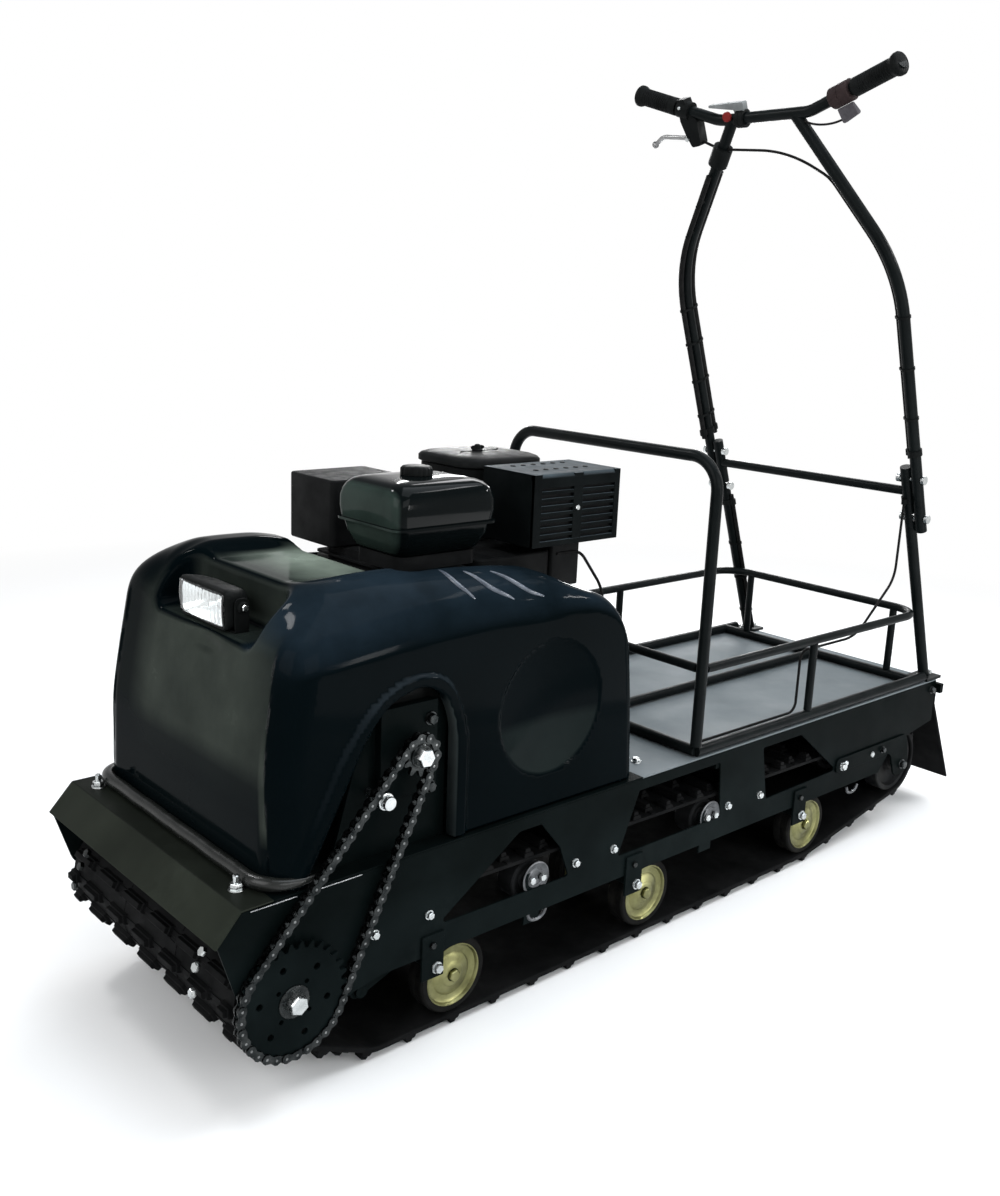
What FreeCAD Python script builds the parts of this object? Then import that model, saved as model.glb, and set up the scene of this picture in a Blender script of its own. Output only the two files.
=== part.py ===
"""Tracked snow towing vehicle: a walk-behind and ride-on tractor with one rubber track.

X points forward, Y to the left, Z up.  The origin lies on the ground, under the middle of
the vehicle's width, and all sizes are millimetres.
"""
import FreeCAD, Part
import math
import os

import Sketcher
from FreeCAD import Rotation, Vector

# ---------------------------------------------------------------- driving dimensions
DIMENSIONS = [
    # chassis
    ("half_width", 256.0, "outer face of a side plate from the centre plane"),
    ("sheet_thick", 3.0, "side plates and guard"),
    ("plate_top", 305.0, "height of the side plates' top edge"),
    ("plate_bottom", 141.0, "height of the lower beam's bottom edge"),
    ("beam_top", 181.0, "height of the windows' lower edge"),
    ("window_top", 286.0, "height of the windows' upper edge"),
    ("front_end", 918.0, "front top corner of the side plates"),
    ("guard_nose", 956.0, "front lower corner of the guard"),
    ("guard_low", 267.0, "height of the guard's lower edge"),
    ("rear_end", -755.0, "rear end of the side plates and the deck"),
    ("member_wide", 25.0, "crossmember, along the vehicle"),
    ("member_high", 30.0, "crossmember height"),
    # deck
    ("deck_thick", 3.0, "deck and engine bed sheet"),
    ("deck_front", 178.0, "front edge of the deck sheet"),
    ("deck_tube", 20.0, "diameter of the tubes on the deck"),
    ("rail_half", 246.0, "side rails' centre line from the centre plane"),
    ("hoop_place", 35.0, "tall hoop and the deck frame's front tube"),
    ("mid_post", -293.0, "middle posts of the low rail"),
    ("rear_rail", -672.0, "rear tube of the deck frame and the low rail"),
    ("rail_tube", 16.0, "diameter of the low rail"),
    ("rail_height", 464.0, "centre line of the low rail"),
    ("rail_bend", 60.0, "corner bend of the low rail"),
    ("hoop_tube", 20.0, "diameter of the tall hoop"),
    ("hoop_height", 819.0, "centre line of the tall hoop's top"),
    ("hoop_bend", 55.0, "corner bend of the tall hoop"),
    # handlebar
    ("lean", 21.0, "forward lean of the handlebar, degrees"),
    ("bar_tube", 22.0, "diameter of the handlebar tubes"),
    ("leg_foot", -745.0, "foot of the handlebar legs"),
    ("leg_half", 232.0, "leg centre line from the centre plane"),
    ("leg_long", 496.0, "leg length along the lean"),
    ("crossbar_along", 443.0, "crossbar above the foot, along the lean"),
    ("pivot_along", 471.0, "fold pivot above the foot, along the lean"),
    ("lock_along", 386.0, "lock bolt above the foot, along the lean"),
    ("tail_along", 358.0, "lower end of the upper tubes, along the lean"),
    ("tube_gap", 0.5, "gap between leg and upper tube"),
    ("shoulder_along", 887.0, "where the upper tubes turn inwards"),
    ("shoulder_bend", 300.0, "radius of that turn"),
    ("neck_half", 69.0, "upper tubes meet the bar at this half width"),
    ("neck_along", 1173.0, "height of the bar's middle, along the lean"),
    ("grip_half", 290.0, "bar end from the centre plane"),
    ("grip_along", 1236.0, "bar end, along the lean"),
    ("bar_kink", 100.0, "where the bar turns up, from the centre plane"),
    ("bar_bend", 80.0, "radius of the bar's turn"),
    ("grip_tube", 33.0, "grip diameter"),
    ("grip_long", 98.0, "grip length"),
    ("grip_flange", 40.0, "diameter of the flange at a grip's outer end"),
    ("bolt_size", 10.0, "pivot and lock bolt diameter"),
    ("bolt_play", 0.1, "clearance of a bolt in its hole, on the radius"),
    ("pad_wide", 48.0, "foot plate of a handlebar leg, across the vehicle"),
    ("head_wide", 17.0, "bolt head diameter"),
    ("head_thick", 6.4, "bolt head thickness"),
    # controls and cables
    ("perch_thick", 22.0, "brake perch, fore and aft"),
    ("lever_tube", 9.0, "diameter of the brake lever"),
    ("clamp_size", 34.0, "diameter of the clamps on the bar"),
    ("cable_size", 5.0, "diameter of the control cables"),
    ("loom_size", 11.0, "diameter of the wrapped bundle ahead of the right tube"),
    ("rear_loom_size", 14.0, "diameter of the wrapped bundle behind the right tube"),
    ("leg_loom_size", 8.0, "diameter of the bundle down the right leg"),
    ("cable_play", 0.3, "gap between a cable and what it lies against"),
    ("clip_wall", 2.5, "wall of the cable clips"),
    ("bar_cable_end", 515.0, "lower end of the cable on the left tube, along the lean"),
    ("loom_top", 1075.0, "upper end of the bundle, along the lean"),
    ("loom_end", 506.0, "lower end of the bundle's upper part, along the lean"),
    ("leg_loom_top", 364.0, "upper end of the bundle's lower part, along the lean"),
    ("cable_side", 232.0, "cable from the left leg to the deck, from the centre plane"),
    ("rail_cable", 443.0, "height of that cable beside the low rail"),
    ("deck_cable", 325.0, "height of that cable beside the deck tube"),
    ("engine_cable", 100.0, "engine cable from the centre plane"),
    # track
    ("track_wide", 490.0, "track width"),
    ("track_thick", 20.0, "belt with its lugs"),
    ("nose_outer", 88.0, "outer radius of the track round the drive axle"),
    ("tail_outer", 85.0, "outer radius of the track round the rear idler"),
    ("contact_front", 690.0, "nose roller axle, front end of the ground contact"),
    # running gear
    ("wheel_size", 120.0, "road wheel diameter"),
    ("wheel_wide", 34.0, "road wheel width"),
    ("wheel_outer", 240.0, "outer face of the outer wheels"),
    ("wheel_front", 557.0, "front road wheel axle"),
    ("wheel_middle", 132.0, "middle road wheel axle"),
    ("wheel_rear", -337.0, "rear road wheel axle"),
    ("arm_ahead", 56.0, "arm pivot ahead of its wheel axle"),
    ("arm_above", 42.0, "arm pivot above its wheel axle"),
    ("pivot_bar", 14.0, "diameter of the bar the trailing arms turn on"),
    ("arm_half", 185.0, "trailing arms from the centre plane"),
    ("tyre_thick", 11.0, "rubber on a road wheel"),
    ("axle_size", 20.0, "axle diameter"),
    ("hanger_thick", 4.0, "sheet of the brackets and tensioner arms"),
    ("drive_ahead", 850.0, "drive axle, along the vehicle"),
    ("drive_height", 163.0, "drive axle height"),
    ("idler_ahead", -645.0, "rear idler axle, along the vehicle"),
    ("idler_height", 142.0, "rear idler axle height"),
    ("return_front", 414.0, "front return roller"),
    ("return_rear", -5.0, "rear return roller"),
    ("return_size", 66.0, "return roller diameter"),
    # chain drive
    ("chain_out", 10.0, "middle of the chain outside the side plate"),
    ("chain_pitch", 15.875, "chain pitch"),
    ("chain_wide", 12.0, "chain width over its plates"),
    ("big_teeth", 31.0, "teeth of the large sprocket"),
    ("small_teeth", 10.0, "teeth of the small sprocket"),
    ("jack_ahead", 651.0, "jackshaft, along the vehicle"),
    ("jack_height", 456.0, "jackshaft height"),
    ("link_high", 14.0, "height of the chain's side plates"),
    ("sprocket_thick", 8.0, "sprocket thickness"),
    ("shaft_size", 25.0, "drive axle and jackshaft diameter"),
    ("spindle_size", 16.0, "threaded ends of the two shafts"),
    ("chain_plate_in", 28.0, "outer face of the chain plate inside the side plate's face"),
    ("chain_sheet", 6.0, "chain plate thickness"),
    ("slack_along", 77.0, "slack roller, down the chain's front run from the jackshaft"),
    ("slack_size", 20.0, "slack roller diameter"),
    # hood
    ("hood_wall", 5.0, "hood thickness"),
    ("hood_half", 249.0, "hood side from the centre plane"),
    ("hood_rear", 188.0, "rear foot of the hood"),
    ("hood_front", 868.0, "front foot of the hood"),
    ("hood_top", 691.0, "top of the hood's side bulges"),
    ("niche_back", 770.0, "back wall of the headlight niche"),
    ("niche_floor", 602.0, "floor of the headlight niche"),
    ("niche_half", 116.0, "half width of the headlight niche"),
    ("lamp_half", 66.0, "half width of the headlight"),
    ("lamp_high", 54.0, "headlight height"),
    # engine
    ("engine_long", 300.0, "engine block, along the vehicle"),
    ("engine_wide", 280.0, "engine block, across the vehicle"),
    ("engine_rear", 250.0, "rear face of the engine block"),
    ("engine_high", 360.0, "engine block height"),
    ("engine_side", -165.0, "right face of the engine block"),
    ("tank_wide", 160.0, "fuel tank width"),
    # rear end
    ("hitch_pin", 16.0, "drawbar pin that the hitch takes"),
    ("flap_tip", -868.0, "rearmost edge of the mud flap"),
    ("flap_low", 56.0, "lower edge of the mud flap"),
]

NODES = []


class Size:
    """A length from the sheet: its number now, and the expression that keeps it bound."""

    def __init__(self, number, text):
        self.number = float(number)
        self.text = text

    def _join(self, other, sign, number):
        return Size(number, "(%s %s %s)" % (self.text, sign, text_of(other)))

    def __add__(self, other):
        return self._join(other, "+", self.number + number_of(other))

    def __sub__(self, other):
        return self._join(other, "-", self.number - number_of(other))

    def __mul__(self, other):
        return self._join(other, "*", self.number * number_of(other))

    def __truediv__(self, other):
        return self._join(other, "/", self.number / number_of(other))

    def __radd__(self, other):
        return as_size(other) + self

    def __rsub__(self, other):
        return as_size(other) - self

    def __rmul__(self, other):
        return as_size(other) * self

    def __neg__(self):
        return Size(-self.number, "(0 - %s)" % self.text)


def as_size(value):
    return value if isinstance(value, Size) else Size(value, "(%r)" % float(value))


def number_of(value):
    return value.number if isinstance(value, Size) else float(value)


def text_of(value):
    return as_size(value).text


def sine(angle):
    return Size(math.sin(math.radians(number_of(angle))), "sin(%s * 1 deg)" % text_of(angle))


def cosine(angle):
    return Size(math.cos(math.radians(number_of(angle))), "cos(%s * 1 deg)" % text_of(angle))


def root(square):
    return Size(math.sqrt(number_of(square)), "sqrt(%s)" % text_of(square))


# ---------------------------------------------------------------- document and sheet
doc = FreeCAD.newDocument("snow_towing_vehicle")
sheet = doc.addObject("Spreadsheet::Sheet", "dims")
D = {}
for row, (alias, number, note) in enumerate(DIMENSIONS, start=1):
    sheet.set("A%d" % row, note)
    sheet.set("B%d" % row, "%r" % number)
    sheet.setAlias("B%d" % row, alias)
    D[alias] = Size(number, "dims.%s" % alias)
doc.recompute()


# ---------------------------------------------------------------- small builders
def bind(item, **values):
    """Tie properties to the sheet; a dot in a property's path is written as two underscores."""
    for path, value in values.items():
        item.setExpression(path.replace("__", "."), text_of(value))
    return item


def place(item, where, rotation=None):
    item.Placement = FreeCAD.Placement(Vector(*[number_of(v) for v in where]), rotation or Rotation())
    return bind(item, Placement__Base__x=where[0], Placement__Base__y=where[1],
                Placement__Base__z=where[2])


AXIS_TURN = {"X": Rotation(Vector(0, 1, 0), 90), "Y": Rotation(Vector(1, 0, 0), -90), "Z": Rotation()}


def box(name, corner, sides):
    item = doc.addObject("Part::Box", name)
    bind(item, Length=sides[0], Width=sides[1], Height=sides[2])
    return place(item, corner)


def rod(name, start, axis, radius, length):
    """A cylinder that runs from start along an axis of the frame."""
    item = doc.addObject("Part::Cylinder", name)
    bind(item, Radius=radius, Height=length)
    return place(item, start, AXIS_TURN[axis])


def fuse(name, items):
    joined = doc.addObject("Part::MultiFuse", name)
    joined.Shapes = items
    joined.Refine = True
    return joined


def cut(name, base, tools):
    tool = tools[0] if len(tools) == 1 else fuse(name + "_tools", tools)
    result = doc.addObject("Part::Cut", name)
    result.Base = base
    result.Tool = tool
    return result


def group(name, items):
    """Like pieces that share a node and do not touch."""
    compound = doc.addObject("Part::Compound", name)
    compound.Links = items
    return compound


def node(item, label):
    item.Label = label
    NODES.append(item)
    return item


def plane_of(body, role):
    return [f for f in body.Origin.OriginFeatures if f.Role == role][0]


def draw(sketch, corners, closed=True):
    """Straight runs between corners (u, v) or (u, v, bend), with tangent arcs in the bends."""
    points = [Vector(number_of(c[0]), number_of(c[1]), 0) for c in corners]
    count = len(corners)
    last = count if closed else count - 1
    starts, ends = {}, {}
    arcs = {}
    for index in range(count):
        inner = closed or 0 < index < count - 1
        if not (inner and len(corners[index]) == 3):
            starts[index] = ends[index] = points[index]
            continue
        here = points[index]
        back = (points[index - 1] - here).normalize()
        ahead = (points[(index + 1) % count] - here).normalize()
        half = back.getAngle(ahead) / 2
        radius = number_of(corners[index][2])
        reach = radius / math.tan(half)
        ends[index], starts[index] = here + back * reach, here + ahead * reach
        middle = (back + ahead).normalize()
        centre = here + middle * (radius / math.sin(half))
        left_turn = (-back).cross(ahead).z > 0
        first, second = (ends[index], starts[index]) if left_turn else (starts[index], ends[index])
        angle = [math.atan2((p - centre).y, (p - centre).x) for p in (first, second)]
        if angle[1] < angle[0]:
            angle[1] += 2 * math.pi
        circle = Part.Circle(centre, Vector(0, 0, 1), radius)
        arcs[index] = (sketch.addGeometry(Part.ArcOfCircle(circle, *angle), False), left_turn)
    lines = [sketch.addGeometry(Part.LineSegment(starts[i], ends[(i + 1) % count]), False)
             for i in range(last)]
    rules, bound = [], []

    def rule(*facts, size=None):
        if size is not None:
            facts = facts + (number_of(size),)
            bound.append((len(rules), size))
        rules.append(Sketcher.Constraint(*facts))

    for index in range(count):
        before = lines[index - 1] if (closed or index > 0) else None
        after = lines[index] if index < last else None
        if index in arcs:
            arc, left_turn = arcs[index]
            enter, leave = (1, 2) if left_turn else (2, 1)
            rule("Tangent", before, 2, arc, enter)
            rule("Tangent", arc, leave, after, 1)
            rule("Radius", arc, size=corners[index][2])
            mark = sketch.addGeometry(Part.Point(points[index]), True)
            rule("PointOnObject", mark, 1, before)
            rule("PointOnObject", mark, 1, after)
            spot = (mark, 1)
        elif after is not None:
            if before is not None:
                rule("Coincident", before, 2, after, 1)
            spot = (after, 1)
        else:
            spot = (before, 2)
        rule("DistanceX", -1, 1, spot[0], spot[1], size=corners[index][0])
        rule("DistanceY", -1, 1, spot[0], spot[1], size=corners[index][1])
    sketch.addConstraint(rules)
    for index, size in bound:
        sketch.setExpression("Constraints[%d]" % index, text_of(size))
    return sketch


def sketch_in(body, name, role, corners, closed=True, offset=None):
    sketch = body.newObject("Sketcher::SketchObject", name)
    sketch.AttachmentSupport = [(plane_of(body, role), "")]
    sketch.MapMode = "FlatFace"
    if offset is not None:
        sketch.AttachmentOffset = FreeCAD.Placement(Vector(0, 0, number_of(offset)), Rotation())
        sketch.setExpression("AttachmentOffset.Base.z", text_of(offset))
    return draw(sketch, corners, closed)


def flat_plate(name, role, corners, thickness, both=False, openings=()):
    """A flat piece padded along its plane's normal, with openings cut right through."""
    body = doc.addObject("PartDesign::Body", name)
    outline = sketch_in(body, name + "_outline", role, corners)
    pad = body.newObject("PartDesign::Pad", name + "_pad")
    pad.Profile = outline
    pad.Midplane = both
    bind(pad, Length=thickness)
    for number, opening in enumerate(openings, start=1):
        profile = sketch_in(body, "%s_opening_%d" % (name, number), role, opening)
        pocket = body.newObject("PartDesign::Pocket", "%s_pocket_%d" % (name, number))
        pocket.Profile = profile
        pocket.Midplane = True
        bind(pocket, Length=4 * as_size(thickness))
    return body


def bent_tube(name, role, corners, radius, start_role, start_offset, centre):
    """A round tube along a path of straight runs and bends that lies in one plane."""
    body = doc.addObject("PartDesign::Body", name)
    path = sketch_in(body, name + "_path", role, corners, closed=False)
    ring = body.newObject("Sketcher::SketchObject", name + "_ring")
    ring.AttachmentSupport = [(plane_of(body, start_role), "")]
    ring.MapMode = "FlatFace"
    ring.AttachmentOffset = FreeCAD.Placement(Vector(0, 0, number_of(start_offset)), Rotation())
    ring.setExpression("AttachmentOffset.Base.z", text_of(start_offset))
    middle = Vector(number_of(centre[0]), number_of(centre[1]), 0)
    ring.addGeometry(Part.Circle(middle, Vector(0, 0, 1), number_of(radius)), False)
    ring.addConstraint([Sketcher.Constraint("Radius", 0, number_of(radius)),
                        Sketcher.Constraint("DistanceX", -1, 1, 0, 3, middle.x),
                        Sketcher.Constraint("DistanceY", -1, 1, 0, 3, middle.y)])
    for index, size in enumerate((radius, centre[0], centre[1])):
        ring.setExpression("Constraints[%d]" % index, text_of(size))
    pipe = body.newObject("PartDesign::AdditivePipe", name + "_pipe")
    pipe.Profile = ring
    pipe.Spine = (path, ["Edge%d" % (n + 1) for n in range(path_edges(corners))])
    return body


def path_edges(corners):
    bends = sum(1 for corner in corners[1:-1] if len(corner) == 3)
    return len(corners) - 1 + bends


def belt(name, circles, thickness, width, plane_at):
    """A closed band round a ring of wheels, named counter-clockwise as (x, z, outer radius)."""
    body = doc.addObject("PartDesign::Body", name)
    sketch = body.newObject("Sketcher::SketchObject", name + "_loops")
    sketch.AttachmentSupport = [(plane_of(body, "XZ_Plane"), "")]
    sketch.MapMode = "FlatFace"
    for inset in (as_size(0), as_size(thickness)):
        wrap(sketch, [(x, z, radius - inset) for x, z, radius in circles])
    pad = body.newObject("PartDesign::Pad", name + "_pad")
    pad.Profile = sketch
    pad.Midplane = True
    bind(pad, Length=width)
    place(body, (as_size(0), plane_at, as_size(0)))
    return body


def wrap(sketch, circles):
    """The outline of a belt drawn tight round circles: arcs joined by tangent lines."""
    count = len(circles)
    centres = [Vector(number_of(x), number_of(z), 0) for x, z, _ in circles]
    radii = [number_of(radius) for _, _, radius in circles]
    normals = []
    for index in range(count):
        span = centres[(index + 1) % count] - centres[index]
        ahead = Vector(span).normalize()
        share = (radii[index] - radii[(index + 1) % count]) / span.Length
        side = Vector(ahead.y, -ahead.x, 0)
        normals.append(ahead * share + side * math.sqrt(1 - share * share))
    arcs, lines = [], []
    for index in range(count):
        first = math.atan2(normals[index - 1].y, normals[index - 1].x)
        second = math.atan2(normals[index].y, normals[index].x)
        while second < first:
            second += 2 * math.pi
        circle = Part.Circle(centres[index], Vector(0, 0, 1), radii[index])
        arcs.append(sketch.addGeometry(Part.ArcOfCircle(circle, first, second), False))
    for index in range(count):
        following = (index + 1) % count
        start = centres[index] + normals[index] * radii[index]
        end = centres[following] + normals[index] * radii[following]
        lines.append(sketch.addGeometry(Part.LineSegment(start, end), False))
    rules, bound = [], []
    for index, (x, z, radius) in enumerate(circles):
        rules.append(Sketcher.Constraint("Tangent", lines[index - 1], 2, arcs[index], 1))
        rules.append(Sketcher.Constraint("Tangent", arcs[index], 2, lines[index], 1))
        for kind, size in (("DistanceX", x), ("DistanceY", z), ("Radius", radius)):
            where = (arcs[index],) if kind == "Radius" else (-1, 1, arcs[index], 3)
            bound.append((len(rules), size))
            rules.append(Sketcher.Constraint(kind, *where, number_of(size)))
    first_rule = sketch.ConstraintCount
    sketch.addConstraint(rules)
    for index, size in bound:
        sketch.setExpression("Constraints[%d]" % (first_rule + index), text_of(size))


def leaned(item):
    """Tilt a piece forward with the handlebar."""
    item.Placement = FreeCAD.Placement(item.Placement.Base,
                                       Rotation(Vector(0, 1, 0), D["lean"].number))
    return bind(item, Placement__Rotation__Angle=D["lean"])


# ---------------------------------------------------------------- shared places
deck_top = D["plate_top"] + D["deck_thick"]
inner_face = D["half_width"] - D["sheet_thick"]
bar_radius = D["bar_tube"] / 2
upper_half = D["leg_half"] + D["bar_tube"] + D["tube_gap"]
wheel_height = D["track_thick"] + D["wheel_size"] / 2 + 0.3
chain_plane = D["half_width"] + D["chain_out"]


def on_lean(along):
    """The point on the handlebar's plane at this distance above its foot: (x, z)."""
    return (D["leg_foot"] + along * sine(D["lean"]), deck_top + along * cosine(D["lean"]))


def off_lean(along, ahead):
    """The same, and this far ahead of that plane, square to it."""
    x, z = on_lean(along)
    return (x + ahead * cosine(D["lean"]), z - ahead * sine(D["lean"]))


def lean_rod(name, y, along, ahead, radius, length):
    """A cylinder that follows the lean from this place upwards."""
    x, z = off_lean(along, ahead)
    return leaned(rod(name, (x, y, z), "Z", radius, length))


pivot_x, pivot_z = on_lean(D["pivot_along"])
lock_x, lock_z = on_lean(D["lock_along"])


# ---------------------------------------------------------------- chassis
def side_plate(side, label):
    front = D["front_end"]
    drive, axle_high = D["drive_ahead"], D["drive_height"]
    bottom, top = D["plate_bottom"], D["plate_top"]
    low, high = D["beam_top"], D["window_top"]
    outline = [(front, top), (D["guard_nose"] - 4.5, D["guard_low"]), (front + 6, axle_high + 20, 30),
               (drive + 25, axle_high - 50, 25), (drive - 40, axle_high - 50, 25),
               (drive - 105, bottom - 8, 20), (drive - 150, bottom), (as_size(-560), bottom),
               (as_size(-610), low + 12, 20), (D["rear_end"], low + 35), (D["rear_end"], top)]
    front_window = [(as_size(604), low + 3, 5), (as_size(340), low, 5), (as_size(362), high - 50, 20),
                    (as_size(405), high, 4), (as_size(450), high, 20)]
    middle_window = [(as_size(228), low, 4), (as_size(-38), low, 4), (as_size(-26), high, 4),
                     (as_size(184), high, 4)]
    rear_window = [(as_size(-172), low, 4), (as_size(-400), low + 4, 5), (as_size(-268), high, 12),
                   (as_size(-150), high, 4)]
    plate = flat_plate(label + "_sheet", "XZ_Plane", outline, D["sheet_thick"], both=True,
                       openings=[front_window, middle_window, rear_window])
    place(plate, (as_size(0), side * (D["half_width"] - D["sheet_thick"] / 2), as_size(0)))
    hole = rod(label + "_axle_hole", (drive, side * D["half_width"] - 10, axle_high), "Y",
               D["shaft_size"] / 2 + 0.5, as_size(20))
    node(cut(label + "_drilled", plate, [hole]), label)


side_plate(1, "side_plate_left")
side_plate(-1, "side_plate_right")

member_places = [as_size(-735), as_size(-430), as_size(-30), as_size(330), as_size(640), as_size(880)]
node(group("members", [
    box("member_%d" % n, (x - D["member_wide"] / 2, -inner_face, D["plate_top"] - D["member_high"]),
        (D["member_wide"], 2 * inner_face, D["member_high"]))
    for n, x in enumerate(member_places, start=1)]), "crossmembers")

guard_back = D["front_end"] - 46
guard = flat_plate("guard_plate", "XZ_Plane", [
    (D["guard_nose"], D["guard_low"]),
    (D["front_end"], D["plate_top"] + 4, 4), (guard_back, D["plate_top"] + 4),
    (guard_back, D["plate_top"] + 4 - D["sheet_thick"] + 1),
    (D["front_end"], D["plate_top"] + 1, 1), (D["front_end"] + 1, D["plate_top"]),
    (D["guard_nose"] - 3, D["guard_low"] - 1)], 2 * D["half_width"] + 2, both=True)
node(guard, "front_guard")

node(box("deck_sheet", (D["rear_end"], -D["half_width"], D["plate_top"]),
         (D["deck_front"] - D["rear_end"], 2 * D["half_width"], D["deck_thick"])), "deck_plate")
node(box("bed_sheet", (D["deck_front"], -D["half_width"], D["plate_top"]),
         (guard_back - D["deck_front"] - 0.5, 2 * D["half_width"], D["deck_thick"])), "engine_bed")


# ---------------------------------------------------------------- deck frame, rail and hoop
def deck_frame():
    radius = D["deck_tube"] / 2
    high = deck_top + radius
    half, front, rear = D["rail_half"], D["hoop_place"], D["rear_rail"]
    tubes = [rod("deck_side_%d" % n, (D["leg_foot"] + 32, y, high), "X", radius,
                 front - D["leg_foot"] - 32)
             for n, y in enumerate((half, -half), start=1)]
    tubes.append(rod("deck_middle", (rear, as_size(0), high), "X", radius - 1, front - rear))
    tubes += [rod("deck_cross_%d" % n, (x, -half, high), "Y", radius - 0.5, 2 * half)
              for n, x in enumerate((front, rear), start=1)]
    node(fuse("deck_tubes", tubes), "deck_frame")


def tall_hoop():
    half = D["rail_half"]
    foot = deck_top + D["deck_tube"]
    hoop = bent_tube("hoop_bent", "YZ_Plane", [
        (-half, foot), (-half, D["hoop_height"], D["hoop_bend"]),
        (half, D["hoop_height"], D["hoop_bend"]), (half, foot)],
        D["hoop_tube"] / 2, "XY_Plane", foot, (as_size(0), -half))
    place(hoop, (D["hoop_place"], as_size(0), as_size(0)))
    node(hoop, "tall_hoop")


def cargo_rail():
    half, rear = D["rail_half"], D["rear_rail"]
    high, radius = D["rail_height"], D["rail_tube"] / 2
    start = D["hoop_place"] - D["hoop_tube"] / 2
    rail = bent_tube("rail_bent", "XY_Plane", [
        (start, -half), (rear, -half, D["rail_bend"]), (rear, half, D["rail_bend"]), (start, half)],
        radius, "YZ_Plane", start, (-half, as_size(0)))
    place(rail, (as_size(0), as_size(0), high))
    foot = deck_top + D["deck_tube"]
    posts = [rod("rail_post_%d" % n, (x, y, foot), "Z", radius - 0.5, high - foot)
             for n, (x, y) in enumerate(((D["mid_post"], half), (D["mid_post"], -half),
                                         (rear, half - 62), (rear, -half + 62)), start=1)]
    cross = rod("rail_cross", (D["hoop_place"], -half + D["hoop_tube"] / 2, high), "Y", radius,
                2 * half - D["hoop_tube"])
    node(group("rail_set", [fuse("rail_tubes", [rail] + posts), cross]), "cargo_rail")


deck_frame()
tall_hoop()
cargo_rail()


# ---------------------------------------------------------------- handlebar
def handlebar_legs():
    pieces = []
    notch_deep = bar_radius + D["bolt_size"] / 2 + 1
    tools = []
    for side, word in ((1, "left"), (-1, "right")):
        half = side * D["leg_half"]
        foot = box("leg_pad_" + word, (D["leg_foot"] - 28, half - D["pad_wide"] / 2, deck_top),
                   (as_size(56), D["pad_wide"], as_size(6)))
        leg = lean_rod("leg_tube_" + word, half, as_size(6), as_size(0), bar_radius,
                       D["leg_long"] - 6)
        pieces += [foot, leg]
        hole = rod("leg_hole_" + word, (pivot_x, half - D["bar_tube"], pivot_z), "Y",
                   D["bolt_size"] / 2 + D["bolt_play"], 2 * D["bar_tube"])
        x, z = on_lean(D["lock_along"] - D["bolt_size"] / 2 - 1.5)
        back = D["bar_tube"]
        notch = leaned(box("leg_notch_" + word,
                           (x - back * cosine(D["lean"]), half - D["bar_tube"],
                            z + back * sine(D["lean"])),
                           (back + D["bolt_size"] / 2 + 1, 2 * D["bar_tube"], D["bolt_size"] + 6)))
        tools += [hole, notch]
    x, z = on_lean(D["crossbar_along"])
    pieces.append(rod("leg_crossbar", (x, -D["leg_half"], z), "Y", D["hoop_tube"] / 2 - 1,
                      2 * D["leg_half"]))
    node(cut("legs_notched", fuse("legs_welded", pieces), tools), "handlebar_legs")


def handlebar():
    tubes, tools = [], []
    for side, word in ((1, "left"), (-1, "right")):
        half = side * upper_half
        tube = bent_tube("upper_" + word, "YZ_Plane", [
            (half, D["tail_along"]), (half, D["shoulder_along"], D["shoulder_bend"]),
            (side * D["neck_half"], D["neck_along"])],
            bar_radius, "XY_Plane", D["tail_along"], (as_size(0), half))
        tubes.append(leaned(place(tube, (D["leg_foot"], as_size(0), deck_top))))
        for name, x, z in (("pivot", pivot_x, pivot_z), ("lock", lock_x, lock_z)):
            tools.append(rod("upper_%s_hole_%s" % (name, word), (x, half - D["bar_tube"], z), "Y",
                             D["bolt_size"] / 2 + D["bolt_play"], 2 * D["bar_tube"]))
    bar = bent_tube("bar_bent", "YZ_Plane", [
        (-D["grip_half"], D["grip_along"]), (-D["bar_kink"], D["neck_along"], D["bar_bend"]),
        (D["bar_kink"], D["neck_along"], D["bar_bend"]), (D["grip_half"], D["grip_along"])],
        bar_radius, "XZ_Plane", D["grip_half"], (as_size(0), D["grip_along"]))
    tubes.append(leaned(place(bar, (D["leg_foot"], as_size(0), deck_top))))
    node(cut("upper_drilled", fuse("upper_welded", tubes), tools), "handlebar")


def cross_bolt(name, x, z, side):
    """A bolt through leg and upper tube, its head outside and its nut inside."""
    play = 0.3
    outer = upper_half + bar_radius + play
    inner = D["leg_half"] - bar_radius - play
    nut = as_size(8)
    shank_from = inner - nut if side > 0 else -(outer + D["head_thick"])
    pieces = [rod(name + "_shank", (x, shank_from, z), "Y", D["bolt_size"] / 2,
                  outer + D["head_thick"] - inner + nut)]
    head_from = outer if side > 0 else -(outer + D["head_thick"])
    nut_from = inner - nut if side > 0 else -inner
    pieces.append(rod(name + "_head", (x, head_from, z), "Y", D["head_wide"] / 2, D["head_thick"]))
    pieces.append(rod(name + "_nut", (x, nut_from, z), "Y", D["head_wide"] / 2, nut))
    return fuse(name, pieces)


handlebar_legs()
handlebar()
node(group("pivot_pair", [cross_bolt("pivot_bolt_left", pivot_x, pivot_z, 1),
                          cross_bolt("pivot_bolt_right", pivot_x, pivot_z, -1)]), "pivot_bolts")
node(group("lock_pair", [cross_bolt("lock_bolt_left", lock_x, lock_z, 1),
                         cross_bolt("lock_bolt_right", lock_x, lock_z, -1)]), "lock_bolts")


# ---------------------------------------------------------------- grips and controls
def bar_end(side):
    """Direction of the bar's outer run in its plane, as an angle above level, degrees."""
    rise = (D["grip_along"] - D["neck_along"]).number
    run = (D["grip_half"] - D["bar_kink"]).number
    return side * math.degrees(math.atan2(rise, run))


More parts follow.
